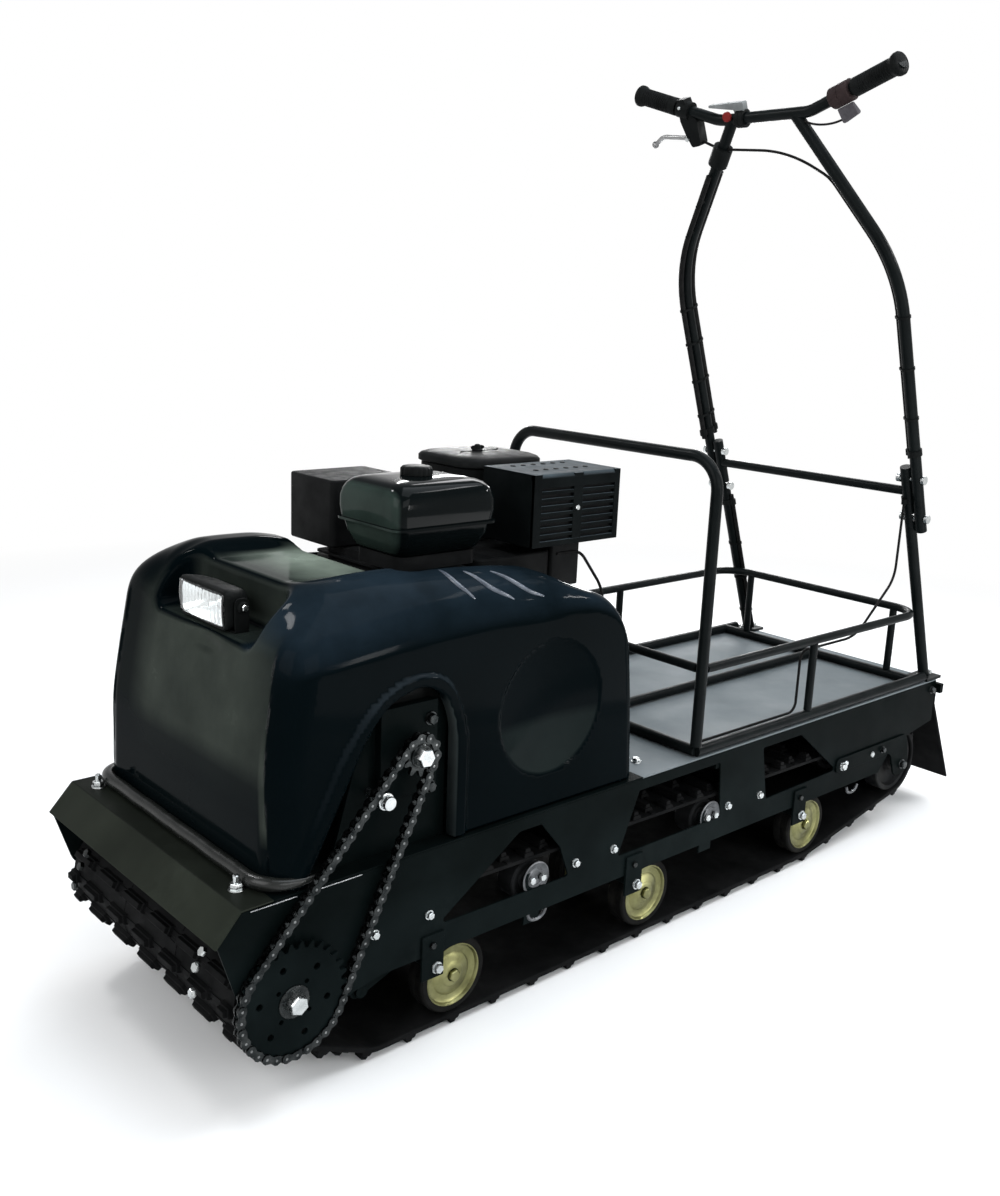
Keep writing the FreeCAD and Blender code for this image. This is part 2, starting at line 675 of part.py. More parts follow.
def on_bar(name, side, start, length, radius, bore=None):
    """A sleeve on the bar's outer run; start is measured inwards from the bar's end."""
    slope = bar_end(side)
    body = doc.addObject("Part::Cylinder", name)
    bind(body, Radius=radius, Height=length)
    item = body
    if bore is not None:
        hole = doc.addObject("Part::Cylinder", name + "_bore")
        bind(hole, Radius=bore, Height=length)
        item = cut(name + "_sleeve", body, [hole])
    tilt = Rotation(Vector(0, 1, 0), D["lean"].number)
    turn = tilt * Rotation(Vector(1, 0, 0), slope) * Rotation(Vector(1, 0, 0), 90 * side)
    end = tilt.multVec(Vector(0, side * D["grip_half"].number, D["grip_along"].number))
    inwards = turn.multVec(Vector(0, 0, 1))
    base = Vector(D["leg_foot"].number, 0, deck_top.number) + end + inwards * number_of(start)
    item.Placement = FreeCAD.Placement(base, turn)
    return item


def lean_plate(name, corners, thickness, ahead=0):
    """A flat piece drawn as (y, along) in the handlebar's plane."""
    plate = flat_plate(name, "YZ_Plane", corners, thickness, both=True)
    x, z = off_lean(as_size(0), as_size(ahead))
    return leaned(place(plate, (x, as_size(0), z)))


def grips():
    bar = bar_radius + D["bolt_play"]
    pair = []
    for side, word in ((1, "left"), (-1, "right")):
        sleeve = on_bar("grip_sleeve_" + word, side, 0, D["grip_long"], D["grip_tube"] / 2)
        flange = on_bar("grip_flange_" + word, side, 0, as_size(14), D["grip_flange"] / 2)
        bore = on_bar("grip_bore_" + word, side, -5, D["grip_long"] + 10, bar)
        pair.append(cut("grip_" + word, fuse("grip_cast_" + word, [sleeve, flange]), [bore]))
    node(group("grip_pair", pair), "handlebar_grips")


def brake_controls():
    bar, clamp = bar_radius + D["bolt_play"], D["clamp_size"] / 2
    ring = on_bar("perch_ring", -1, D["grip_long"] + 5, as_size(28), clamp)
    arm = lean_plate("perch_arm", [
        (as_size(-190), as_size(1220)), (as_size(-172), as_size(1220)), (as_size(-164), as_size(1192)),
        (as_size(-148), as_size(1180)), (as_size(-146), as_size(1132), 6), (as_size(-168), as_size(1130), 6),
        (as_size(-180), as_size(1156)), (as_size(-188), as_size(1180))], D["perch_thick"])
    bore = on_bar("perch_bore", -1, D["grip_long"], as_size(80), bar)
    node(cut("perch_bored", fuse("perch_cast", [ring, arm]), [bore]), "brake_perch")
    lever = bent_tube("lever_blade", "YZ_Plane", [
        (as_size(-178), as_size(1146)), (as_size(-246), as_size(1153), 30),
        (as_size(-268), as_size(1140))], D["lever_tube"] / 2, "XZ_Plane", as_size(178),
        (as_size(0), as_size(1146)))
    leaned(place(lever, (D["leg_foot"], as_size(0), deck_top)))
    tip_x, tip_z = on_lean(as_size(1139))
    tip = doc.addObject("Part::Sphere", "lever_tip")
    bind(place(tip, (tip_x, as_size(-270), tip_z)), Radius=as_size(7))
    node(fuse("lever_forged", [lever, tip]), "brake_lever")


def throttle_controls():
    bar, clamp = bar_radius + D["bolt_play"], D["clamp_size"] / 2
    node(on_bar("throttle_body", 1, D["grip_long"] + 6, as_size(42), clamp + 2, bar),
         "throttle_housing")
    lever = lean_plate("thumb_plate", [
        (as_size(160), as_size(1172.4)), (as_size(189), as_size(1182)), (as_size(203), as_size(1163), 4),
        (as_size(170), as_size(1147), 4)], as_size(10))
    node(lever, "throttle_lever")


def stop_switch():
    """A clamp on the bar's level middle that carries the stop button and a small plate."""
    bar, clamp = bar_radius + D["bolt_play"], D["clamp_size"] / 2
    x, z = on_lean(D["neck_along"])
    ring = rod("switch_ring", (x, as_size(-57), z), "Y", clamp, as_size(19))
    plate = lean_plate("switch_plate", [
        (as_size(-118), as_size(1196)), (as_size(-57), as_size(1184)), (as_size(-38), as_size(1184)),
        (as_size(-38), as_size(1203)), (as_size(-118), as_size(1203))], as_size(24))
    tools = [rod("switch_bore", (x, as_size(-70), z), "Y", bar, as_size(40)),
             on_bar("switch_slope", -1, D["grip_long"] + 30, as_size(105), bar + 2)]
    node(cut("switch_bored", fuse("switch_cast", [ring, plate]), tools), "stop_switch")


def bar_cables():
    """The brake cable across to the left tube and down it, and the bundle on the right tube."""
    radius, play = D["cable_size"] / 2, D["cable_play"]
    start = as_size(-82)
    beside = upper_half - bar_radius - radius - play
    cable = bent_tube("brake_line", "YZ_Plane", [
        (start, as_size(1118)), (as_size(45), as_size(1108), 250), (as_size(128.1), as_size(1056.4), 80),
        (beside, as_size(882.9), 286), (beside, D["bar_cable_end"])],
        radius, "XZ_Plane", -start, (as_size(0), as_size(1118)))
    node(leaned(place(cable, (D["leg_foot"], as_size(0), deck_top))), "brake_cable")
    loom = D["loom_size"] / 2
    ahead = bar_radius + loom + play
    share = (D["shoulder_along"] - D["loom_top"]) / (D["shoulder_along"] - D["neck_along"])
    top_y = upper_half - (upper_half - D["neck_half"]) * share
    bundle = bent_tube("bundle", "YZ_Plane", [
        (-upper_half, D["loom_end"]), (-upper_half, D["shoulder_along"], D["shoulder_bend"]),
        (-top_y, D["loom_top"])], loom, "XY_Plane", D["loom_end"], (as_size(0), -upper_half))
    x, z = off_lean(as_size(0), ahead)
    leaned(place(bundle, (x, as_size(0), z)))
    rear_loom = D["rear_loom_size"] / 2
    behind = bar_radius + rear_loom + play
    rear_bundle = bent_tube("rear_bundle", "YZ_Plane", [
        (-upper_half, D["loom_end"]), (-upper_half, D["shoulder_along"], D["shoulder_bend"]),
        (-top_y, D["loom_top"])], rear_loom, "XY_Plane", D["loom_end"], (as_size(0), -upper_half))
    x, z = off_lean(as_size(0), as_size(0) - behind)
    leaned(place(rear_bundle, (x, as_size(0), z)))
    node(group("bundle_pair", [bundle, rear_bundle]), "upper_loom")
    wall, tube = D["clip_wall"], bar_radius + D["bolt_play"]
    left_at, right_at = D["bar_cable_end"] + 8, D["loom_end"] + 8
    long = as_size(12)
    left = cut("left_clip_bored", fuse("left_clip_rings", [
        lean_rod("left_clip_tube", upper_half, left_at, as_size(0), tube + wall, long),
        lean_rod("left_clip_cable", beside, left_at, as_size(0), radius + play + wall, long)]), [
            lean_rod("left_clip_bore", upper_half, left_at - 2, as_size(0), tube, long + 4),
            lean_rod("left_clip_gap", beside, left_at - 2, as_size(0), radius + play, long + 4)])
    right = cut("right_clip_bored", fuse("right_clip_rings", [
        lean_rod("right_clip_tube", -upper_half, right_at, as_size(0), tube + wall, long),
        lean_rod("right_clip_back", -upper_half, right_at, as_size(0) - behind,
                 rear_loom + play + wall, long),
        lean_rod("right_clip_loom", -upper_half, right_at, ahead, loom + play + wall, long)]), [
            lean_rod("right_clip_bore", -upper_half, right_at - 2, as_size(0), tube, long + 4),
            lean_rod("right_clip_slot", -upper_half, right_at - 2, as_size(0) - behind,
                     rear_loom + play, long + 4),
            lean_rod("right_clip_gap", -upper_half, right_at - 2, ahead, loom + play, long + 4)])
    node(group("bar_clip_pair", [left, right]), "bar_clips")
    clamp_at = as_size(1092)
    clamp_y = upper_half - (upper_half - D["neck_half"]) * (
        (D["shoulder_along"] - clamp_at) / (D["shoulder_along"] - D["neck_along"]))
    x, z = on_lean(clamp_at)
    body = doc.addObject("Part::Cylinder", "splitter_body")
    bind(body, Radius=as_size(19), Height=as_size(38))
    hole = doc.addObject("Part::Cylinder", "splitter_bore")
    bind(hole, Radius=tube, Height=as_size(38))
    splitter = cut("splitter_sleeve", body, [hole])
    slope = math.degrees(math.atan2((upper_half - D["neck_half"]).number,
                                    (D["neck_along"] - D["shoulder_along"]).number))
    turn = Rotation(Vector(0, 1, 0), D["lean"].number) * Rotation(Vector(1, 0, 0), -slope)
    splitter.Placement = FreeCAD.Placement(Vector(x.number, -clamp_y.number, z.number), turn)
    node(splitter, "cable_splitter")


def fixed_cables():
    """The cable from the left leg to the deck, the bundle down the right leg, the engine cable."""
    radius, play, side = D["cable_size"] / 2, D["cable_play"], D["cable_side"]
    top_x, top_z = off_lean(as_size(432), bar_radius + radius + play)
    end_x = D["hoop_place"] - 27
    cable = bent_tube("leg_line", "XZ_Plane", [
        (top_x, top_z), (top_x + 2, as_size(545), 60), (as_size(-455), D["rail_cable"], 100),
        (D["mid_post"] + 20, D["rail_cable"], 20), (D["mid_post"] + 20, D["deck_cable"], 20),
        (end_x, D["deck_cable"], 10), (end_x, deck_top + play)],
        radius, "XY_Plane", top_z, (top_x, as_size(0)))
    node(place(cable, (as_size(0), side, as_size(0))), "leg_cable")
    loom = D["leg_loom_size"] / 2
    loom_y = -D["leg_half"] + bar_radius + loom + play
    foot = as_size(10)
    node(lean_rod("leg_bundle", loom_y, foot, as_size(0), loom, D["leg_loom_top"] - foot), "leg_loom")
    plane = D["engine_cable"]
    line = bent_tube("engine_line", "XZ_Plane", [
        (D["engine_rear"] - play, as_size(660)), (as_size(196), as_size(660), 40),
        (as_size(134), as_size(585), 80), (as_size(124), deck_top + play)],
        radius, "YZ_Plane", D["engine_rear"] - play, (as_size(0), as_size(660)))
    node(place(line, (as_size(0), plane, as_size(0))), "engine_cable")
    bore, wall = radius + play, D["clip_wall"]
    rings = []
    for name, x, y in (("leg", end_x, side), ("engine", as_size(124), plane)):
        ring = rod(name + "_gland", (x, y, deck_top), "Z", bore + wall, as_size(5))
        hole = rod(name + "_gland_bore", (x, y, deck_top), "Z", bore, as_size(5))
        rings.append(cut(name + "_gland_ring", ring, [hole]))
    tube, long = bar_radius + D["bolt_play"], as_size(12)
    left_at, right_at = as_size(420), D["leg_loom_top"] - 24
    left = fuse("left_leg_clip", [
        lean_rod("left_leg_clip_tube", D["leg_half"], left_at, as_size(0), tube + wall, long),
        rod("left_leg_clip_side", (top_x, side, top_z - 11), "Z", bore + wall, as_size(10))])
    rings.append(cut("left_leg_clip_bored", left, [
        lean_rod("left_leg_clip_bore", D["leg_half"], left_at - 8, as_size(0), tube, long + 16),
        rod("left_leg_clip_gap", (top_x, side, top_z - 12), "Z", bore, as_size(14)),
        box("left_leg_clip_open", (top_x - 40, upper_half - bar_radius - 6, top_z - 30),
            (as_size(60), as_size(30), as_size(50)))]))
    right = fuse("right_leg_clip", [
        lean_rod("right_leg_clip_tube", -D["leg_half"], right_at, as_size(0), tube + wall, long),
        lean_rod("right_leg_clip_side", loom_y, right_at, as_size(0), loom + play + wall, long)])
    rings.append(cut("right_leg_clip_bored", right, [
        lean_rod("right_leg_clip_bore", -D["leg_half"], right_at - 2, as_size(0), tube, long + 4),
        lean_rod("right_leg_clip_gap", loom_y, right_at - 2, as_size(0), loom + play, long + 4)]))
    node(group("cable_ring_set", rings), "cable_clips")


grips()
brake_controls()
throttle_controls()
stop_switch()
bar_cables()
fixed_cables()


# ---------------------------------------------------------------- track and running gear
def track():
    x_front, x_rear = D["drive_ahead"], D["idler_ahead"]
    over = D["wheel_size"] / 2 + D["track_thick"] + 0.3
    circles = [(x_front, D["drive_height"], D["nose_outer"]),
               (x_rear, D["idler_height"], D["tail_outer"]),
               (D["wheel_rear"], over, over), (D["contact_front"], over, over)]
    node(belt("track_band", circles, D["track_thick"], D["track_wide"], as_size(0)), "track")


def wheels(name, x, z, size, places, wide, bore):
    """Plain wheels of one size on one axle, at these inner faces."""
    bored = []
    for number, y in enumerate(places, start=1):
        disc = rod("%s_%d" % (name, number), (x, y, z), "Y", size / 2, wide)
        hole = rod("%s_bore_%d" % (name, number), (x, y, z), "Y", bore, wide)
        bored.append(cut("%s_bored_%d" % (name, number), disc, [hole]))
    return bored


def tyred_set(name, x, z, places):
    """Road wheels: a steel disc with a flange and a rubber tyre round it; returns both groups."""
    wide, rim = D["wheel_wide"], D["wheel_size"] / 2 - D["tyre_thick"]
    discs = wheels(name + "_disc", x, z, 2 * rim, places, wide, D["axle_size"] / 2 + D["bolt_play"])
    tyres = []
    for number, y in enumerate(places, start=1):
        tyre = rod("%s_tyre_%d" % (name, number), (x, y, z), "Y", D["wheel_size"] / 2, wide)
        hole = rod("%s_tyre_hole_%d" % (name, number), (x, y, z), "Y", rim + D["bolt_play"], wide)
        tyres.append(cut("%s_tyre_ring_%d" % (name, number), tyre, [hole]))
    return discs, tyres


def suspension(label, wheel_x, nose_x=None):
    """Cross shaft with two trailing arms that carry a wheel axle, and perhaps a nose axle."""
    radius = D["axle_size"] / 2
    shaft_x, shaft_z = wheel_x + D["arm_ahead"], wheel_height + D["arm_above"]
    end = D["half_width"]
    pieces = [rod(label + "_shaft", (shaft_x, -end, shaft_z), "Y", D["pivot_bar"] / 2, 2 * end),
              rod(label + "_axle", (wheel_x, -D["wheel_outer"], wheel_height), "Y", radius,
                  2 * D["wheel_outer"])]
    edge = as_size(18)
    for side in (1, -1):
        arm = flat_plate("%s_arm_%s" % (label, "left" if side > 0 else "right"), "XZ_Plane", [
            (wheel_x - edge, wheel_height - edge, 14), (shaft_x + edge, shaft_z - edge, 14),
            (shaft_x + edge, shaft_z + edge, 14), (wheel_x - edge, wheel_height + edge, 14)],
            as_size(8), both=True)
        pieces.append(place(arm, (as_size(0), side * D["arm_half"], as_size(0))))
    if nose_x is not None:
        pieces.append(rod(label + "_nose_axle", (nose_x, -D["arm_half"] - 10, wheel_height), "Y",
                          radius, 2 * D["arm_half"] + 20))
        for side in (1, -1):
            arm = flat_plate("%s_nose_arm_%s" % (label, "left" if side > 0 else "right"), "XZ_Plane", [
                (shaft_x - edge, shaft_z - edge, 14), (nose_x + edge, wheel_height - edge, 14),
                (nose_x + edge, wheel_height + edge, 14), (shaft_x - edge, shaft_z + edge, 14)],
                as_size(8), both=True)
            pieces.append(place(arm, (as_size(0), side * D["arm_half"], as_size(0))))
    return fuse(label + "_welded", pieces)


def upper_run(x):
    """Height of the inside of the track's upper run above the point x."""
    front = D["drive_height"] + D["nose_outer"] - D["track_thick"]
    rear = D["idler_height"] + D["tail_outer"] - D["track_thick"]
    share = (x - D["idler_ahead"]) / (D["drive_ahead"] - D["idler_ahead"])
    return rear + (front - rear) * share


def running_gear():
    outer = D["wheel_outer"] - D["wheel_wide"]
    places = [outer, as_size(60), as_size(-60) - D["wheel_wide"], -D["wheel_outer"]]
    discs, tyres, frames, axles = [], [], [], []
    for word in ("front", "middle", "rear"):
        x = D["wheel_" + word]
        frames.append(suspension("suspension_" + word, x,
                                 D["contact_front"] if word == "front" else None))
        steel, rubber = tyred_set("road_" + word, x, wheel_height, places)
        discs += steel
        tyres += rubber
    node(group("arm_frames", frames), "trailing_arms")
    node(group("road_discs", discs), "road_wheels")
    node(group("road_tyres", tyres), "wheel_tyres")
    bore = D["axle_size"] / 2 + D["bolt_play"]
    rollers = wheels("nose_roll", D["contact_front"], wheel_height, D["wheel_size"],
                     [as_size(60), as_size(-60) - D["wheel_wide"]], D["wheel_wide"], bore)
    for word in ("front", "rear"):
        x, thick = D["return_" + word], D["hanger_thick"]
        high = upper_run(x) - D["return_size"] / 2 - 0.3
        rollers += wheels("return_roll_" + word, x, high, D["return_size"],
                          [outer, -D["wheel_outer"]], D["wheel_wide"], bore)
        frame = [rod("return_bar_" + word, (x, -inner_face + thick, high), "Y",
                     D["axle_size"] / 2, 2 * (inner_face - thick))]
        for side in (1, -1):
            y = inner_face - thick if side > 0 else -inner_face
            frame.append(box("return_hanger_%s_%s" % (word, "left" if side > 0 else "right"),
                             (x - 16, y, D["plate_bottom"] - 17),
                             (as_size(32), thick, high + 18 - D["plate_bottom"] + 17)))
        axles.append(fuse("return_frame_" + word, frame))
    node(group("return_frames", axles), "return_axles")
    node(group("plain_rolls", rollers), "plain_rollers")
    brackets = []
    for word in ("front", "middle", "rear"):
        x = D["wheel_" + word] + D["arm_ahead"]
        for side in (1, -1):
            y = D["half_width"] if side > 0 else -D["half_width"] - D["hanger_thick"]
            brackets.append(box("shaft_bracket_%s_%s" % (word, "left" if side > 0 else "right"),
                                (x - 20, y, wheel_height + D["arm_above"] - 18),
                                (as_size(40), D["hanger_thick"], as_size(70))))
    node(group("bracket_set", brackets), "shaft_brackets")


def rear_idler():
    x, z = D["idler_ahead"], D["idler_height"]
    end = D["half_width"]
    node(rod("idler_bar", (x, -end, z), "Y", D["axle_size"] / 2, 2 * end), "idler_axle")
    size = 2 * (D["tail_outer"] - D["track_thick"]) - 1
    outer = D["wheel_outer"] - D["wheel_wide"]
    node(group("idler_rolls", wheels("idler_roll", x, z, size, [
        outer, as_size(60), as_size(-60) - D["wheel_wide"], -D["wheel_outer"]],
        D["wheel_wide"], D["axle_size"] / 2 + D["bolt_play"])), "idler_wheels")
    arms = []
    for side in (1, -1):
        arm = flat_plate("tension_arm_%s" % ("left" if side > 0 else "right"), "XZ_Plane", [
            (as_size(-395), as_size(178), 10), (as_size(-395), as_size(208), 10),
            (x - 10, as_size(208), 20), (x - 30, z - 22, 18), (x + 26, z - 22, 18),
            (x + 50, as_size(178), 20)], D["hanger_thick"], both=True)
        arms.append(place(arm, (as_size(0), side * (end + D["hanger_thick"] / 2), as_size(0))))
    node(group("tension_arms", arms), "track_tensioners")


track()
running_gear()
rear_idler()


# ---------------------------------------------------------------- chain drive
def pitch_radius(teeth):
    return D["chain_pitch"] / (2 * sine(as_size(180) / teeth))


def slack_place(big, small):
    """The slack roller lies against the inside of the chain's front run: (x, z)."""
    run_x, run_z = D["jack_ahead"] - D["drive_ahead"], D["jack_height"] - D["drive_height"]
    span = root(run_x * run_x + run_z * run_z)
    tilt = (big - small) / span
    level = root(1 - tilt * tilt)
    ahead_x, ahead_z = run_x / span, run_z / span
    out_x, out_z = ahead_z * level + ahead_x * tilt, ahead_z * tilt - ahead_x * level
    reach = small - (D["link_high"] + D["slack_size"]) / 2 - 0.4
    down_x, down_z = out_z, -out_x
    return (D["jack_ahead"] + out_x * reach + down_x * D["slack_along"],
            D["jack_height"] + out_z * reach + down_z * D["slack_along"])


def chain_drive():
    half_link = D["link_high"] / 2
    big, small = pitch_radius(D["big_teeth"]), pitch_radius(D["small_teeth"])
    drive = (D["drive_ahead"], D["drive_height"])
    jack = (D["jack_ahead"], D["jack_height"])
    node(belt("chain_band", [(drive[0], drive[1], big + half_link), (jack[0], jack[1], small + half_link)],
              D["link_high"], D["chain_wide"], chain_plane), "drive_chain")
    thick = D["sprocket_thick"]
    near = chain_plane - thick / 2
    shaft = D["shaft_size"] / 2
    hub_end = chain_plane + thick / 2 + 8
    sprockets = []
    for name, (x, z), radius in (("big_disc", drive, big), ("small_disc", jack, small)):
        sprockets += wheels(name, x, z, 2 * (radius - half_link - 0.3), [near], thick,
                            D["spindle_size"] / 2 + D["bolt_play"])
    node(group("sprocket_pair", sprockets), "chain_sprockets")
    node(fuse("drive_shaft", [
        rod("drive_bar", (drive[0], -D["half_width"] - 6, drive[1]), "Y", shaft,
            D["half_width"] + 6 + near),
        rod("drive_spindle", (drive[0], near - 1, drive[1]), "Y", D["spindle_size"] / 2,
            hub_end - near + 1),
        rod("drive_nut", (drive[0], near + thick, drive[1]), "Y", D["head_wide"] / 2 + 3, as_size(8))]),
        "drive_axle")
    inner = D["nose_outer"] - D["track_thick"] - 0.5
    node(group("cog_pair", wheels("cog", drive[0], drive[1], 2 * inner,
                                  [as_size(95), as_size(-125)], as_size(30),
                                  shaft + D["bolt_play"])), "track_sprockets")
    node(group("bearing_pair", wheels("axle_bearing", drive[0], drive[1], as_size(70),
                                      [inner_face - 12, -inner_face], as_size(12),
                                      shaft + D["bolt_play"])), "drive_bearings")
    plate_at = D["half_width"] - D["chain_plate_in"]
    plate = flat_plate("chain_plate_sheet", "XZ_Plane", [
        (jack[0] - 75, deck_top), (jack[0] + 120, deck_top), (jack[0] + 60, jack[1] + 60, 30),
        (jack[0] - 75, jack[1] + 60, 30)], D["chain_sheet"], both=True)
    place(plate, (as_size(0), plate_at - D["chain_sheet"] / 2, as_size(0)))
    hole = rod("chain_plate_hole", (jack[0], plate_at - 20, jack[1]), "Y", shaft + D["bolt_play"],
               as_size(60))
    flange = box("bearing_flange", (jack[0] - 48, plate_at, jack[1] - 65),
                 (as_size(96), as_size(14), as_size(130)))
    node(cut("chain_plate_bored", fuse("chain_plate_welded", [plate, flange]), [hole]), "chain_plate")
    node(fuse("jack_shaft", [
        rod("jack_bar", (jack[0], as_size(150), jack[1]), "Y", shaft, near - 150),
        rod("jack_spindle", (jack[0], near - 1, jack[1]), "Y", D["spindle_size"] / 2,
            hub_end - near + 1),
        rod("jack_nut", (jack[0], near + thick, jack[1]), "Y", D["head_wide"] / 2 + 2, as_size(8))]),
        "jackshaft")
    slack_x, slack_z = slack_place(big, small)
    node(fuse("slack_roller", [
        rod("slack_pin", (slack_x, plate_at, slack_z), "Y", as_size(6),
            chain_plane + 14 - plate_at),
        rod("slack_roll", (slack_x, near - 2, slack_z), "Y", D["slack_size"] / 2, thick + 4),
        rod("slack_head", (slack_x, chain_plane + 8, slack_z), "Y", as_size(9), as_size(6))]),
        "chain_tensioner")


chain_drive()


# ---------------------------------------------------------------- hood and headlight
# One row for each rib of the hood's left half: how far it stands from the centre plane,
# how far its crown drops below the bulge's top, and how far its ends are drawn in.
HOOD_RIBS = [(0, 24, 14), (80, 22, 12), (120, 9, 0), (145, 5, 0), (190, 16, 0), (228, 48, 8),
             (249, 104, 40)]


def hood_rib(body, name, away, drop, inset, inside):
    """A side view of the hood at one distance from the centre plane."""
    wall = D["hood_wall"] if inside else as_size(0)
    foot = deck_top + (as_size(-5) if inside else as_size(0))
    rear, front = D["hood_rear"] + inset + wall, D["hood_front"] - inset - wall
    top = D["hood_top"] - drop - wall
    corners = [(rear, foot), (rear + 25, top - 80, 40), (rear + 220, top + 2, 220),
               (front - 70, top - 8, 70), (front, top - 225, 160), (front, foot)]
    return sketch_in(body, name, "XZ_Plane", corners, offset=away)


def hood_form(name, inside):
    body = doc.addObject("PartDesign::Body", name)
    ribs = []
    spread = HOOD_RIBS[:0:-1] + [(-away, drop, inset) for away, drop, inset in HOOD_RIBS]
    last = HOOD_RIBS[-1][0]
    for number, (away, drop, inset) in enumerate(spread):
        reach = D["hood_half"] * (away / last)
        if inside:
            reach = reach - D["hood_wall"] * (away / last)
        ribs.append(hood_rib(body, "%s_rib_%d" % (name, number), reach, drop, inset, inside))
    loft = body.newObject("PartDesign::AdditiveLoft", name + "_loft")
    loft.Profile = ribs[0]
    loft.Sections = ribs[1:]
    loft.Ruled = True
    return body


def hood_and_lamp():
    wall = D["hood_wall"]
    niche_back, niche_floor, niche_half = D["niche_back"], D["niche_floor"], D["niche_half"]
    outer = hood_form("hood_outer", False)
    hollow = hood_form("hood_inner", True)
    niche = box("niche", (niche_back, -niche_half, niche_floor),
                (D["hood_front"] - niche_back + 10, 2 * niche_half, as_size(150)))
    shelf = box("niche_shell", (niche_back - wall, -niche_half - wall, niche_floor - wall),
                (D["hood_front"] - niche_back + 10 + wall, 2 * niche_half + 2 * wall, as_size(160)))
    engine_gap = box("engine_opening", (D["engine_rear"] - 30, as_size(-230), D["hood_top"] - 160),
                     (as_size(385), as_size(390), as_size(200)))
    arch = flat_plate("arch_opening", "XZ_Plane", [
        (D["jack_ahead"] - 88, deck_top - 20), (D["jack_ahead"] - 88, D["jack_height"] + 90, 60),
        (D["jack_ahead"] + 25, D["jack_height"] + 90, 60), (D["hood_front"] - 42, deck_top - 20)],
        as_size(40), both=True)
    place(arch, (as_size(0), D["hood_half"] + 5, as_size(0)))
    shell = cut("hood_shell", outer, [cut("hood_hollow", hollow, [shelf])])
    node(cut("hood_cut", shell, [niche, engine_gap, arch]), "hood")
    lamp_deep, lens = as_size(48), as_size(6)
    lamp_z = niche_floor + 6
    lamp = box("lamp_case", (niche_back + 6, -D["lamp_half"], lamp_z),
               (lamp_deep, 2 * D["lamp_half"], D["lamp_high"]))
    stand = box("lamp_stand", (niche_back + 16, as_size(-18), niche_floor),
                (as_size(24), as_size(36), as_size(6)))
    node(fuse("lamp_body", [lamp, stand]), "headlight")
    node(box("lamp_glass", (niche_back + 6 + lamp_deep, 5 - D["lamp_half"], lamp_z + 5),
             (lens, 2 * D["lamp_half"] - 10, D["lamp_high"] - 10)), "headlight_lens")


hood_and_lamp()


# ---------------------------------------------------------------- engine
def engine():
    rear, right = D["engine_rear"], D["engine_side"]
    long, wide, high = D["engine_long"], D["engine_wide"], D["engine_high"]
    top = deck_top + high
    node(box("block", (rear, right, deck_top), (long, wide, high)), "engine_block")
    saddle = box("tank_saddle", (rear + 170, as_size(0), top), (long - 190, wide + right - 15, as_size(60)))
    tank = flat_plate("tank_side", "XZ_Plane", [
        (rear + 160, top + 60, 14), (rear + 350, top + 60, 14), (rear + 350, top + 112, 30),
        (rear + 310, top + 128, 30), (rear + 160, top + 128, 16)], D["tank_wide"], both=True)
    place(tank, (as_size(0), as_size(140) - D["tank_wide"] / 2, as_size(0)))
    node(fuse("tank_welded", [saddle, tank]), "fuel_tank")
    node(rod("cap", (rear + 255, as_size(55), top + 128.2), "Z", as_size(24), as_size(16)), "fuel_cap")
    support = box("muffler_support", (rear + 10, as_size(40), top), (as_size(60), as_size(60), as_size(20)))
    guard_box = box("muffler_box", (as_size(153), as_size(20), top + 20),
                    (as_size(190), as_size(120), as_size(110)))
    node(fuse("muffler_welded", [support, guard_box]), "muffler_guard")
    neck = box("air_neck", (rear + 10, as_size(-120), top), (as_size(60), as_size(60), as_size(30)))
    lid = box("air_box", (as_size(175), as_size(-165), top + 30), (as_size(175), as_size(160), as_size(110)))
    node(fuse("air_welded", [neck, lid]), "air_cleaner")
    node(box("switch_box", (rear + 165, as_size(-205), top), (as_size(147), as_size(125), as_size(112))),
         "recoil_housing")


engine()


# ---------------------------------------------------------------- rear end
def rear_end():
    rear = D["rear_end"]
    top = D["plate_top"]
    bar = box("hitch_bar", (rear - 12, -D["half_width"] - 12, top - 26),
              (as_size(12), 2 * D["half_width"] + 24, as_size(20)))
    tongue = box("hitch_tongue", (rear - 62, as_size(-30), top - 26),
                 (as_size(55), as_size(60), as_size(8)))
    lower = box("hitch_lower", (rear - 62, as_size(-30), top - 74), (as_size(55), as_size(60), as_size(8)))
    web = box("hitch_web", (rear - 12, as_size(-30), top - 74), (as_size(10), as_size(60), as_size(56)))
    hole = rod("hitch_hole", (rear - 42, as_size(0), top - 90), "Z", D["hitch_pin"] / 2 + 0.5, as_size(90))
    node(cut("hitch_drilled", fuse("hitch_welded", [bar, tongue, lower, web]), [hole]), "tow_hitch")
    flap = flat_plate("flap_sheet", "XZ_Plane", [
        (rear - 12.5, top - 8), (rear - 12.5, top - 60), (D["flap_tip"], D["flap_low"]),
        (D["flap_tip"] - 5, D["flap_low"] + 2), (rear - 17.5, top - 55), (rear - 17.5, top - 8)],
        2 * D["half_width"] - 10, both=True)
    gap = box("flap_gap", (rear - 90, as_size(-36), top - 82), (as_size(85), as_size(72), as_size(100)))
    node(cut("flap_cut", flap, [gap]), "mud_flap")


rear_end()


# ---------------------------------------------------------------- check and export
doc.recompute()
faults = [o.Label for o in doc.Objects if set(o.State) & {"Invalid", "Error"}]
faults += [n.Label for n in NODES if n.Shape.isNull() or not n.Shape.isValid()]
if faults:
    raise SystemExit("faulty objects: %s" % ", ".join(faults))
os.makedirs("parts", exist_ok=True)
for item in NODES:
    item.Shape.exportStep("parts/%s.step" % item.Label)
    print("%-26s %2d solids %12.0f mm3" % (item.Label, len(item.Shape.Solids), item.Shape.Volume))
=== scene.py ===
import math

import bmesh
import bpy
import numpy as np
from mathutils import Matrix, Vector


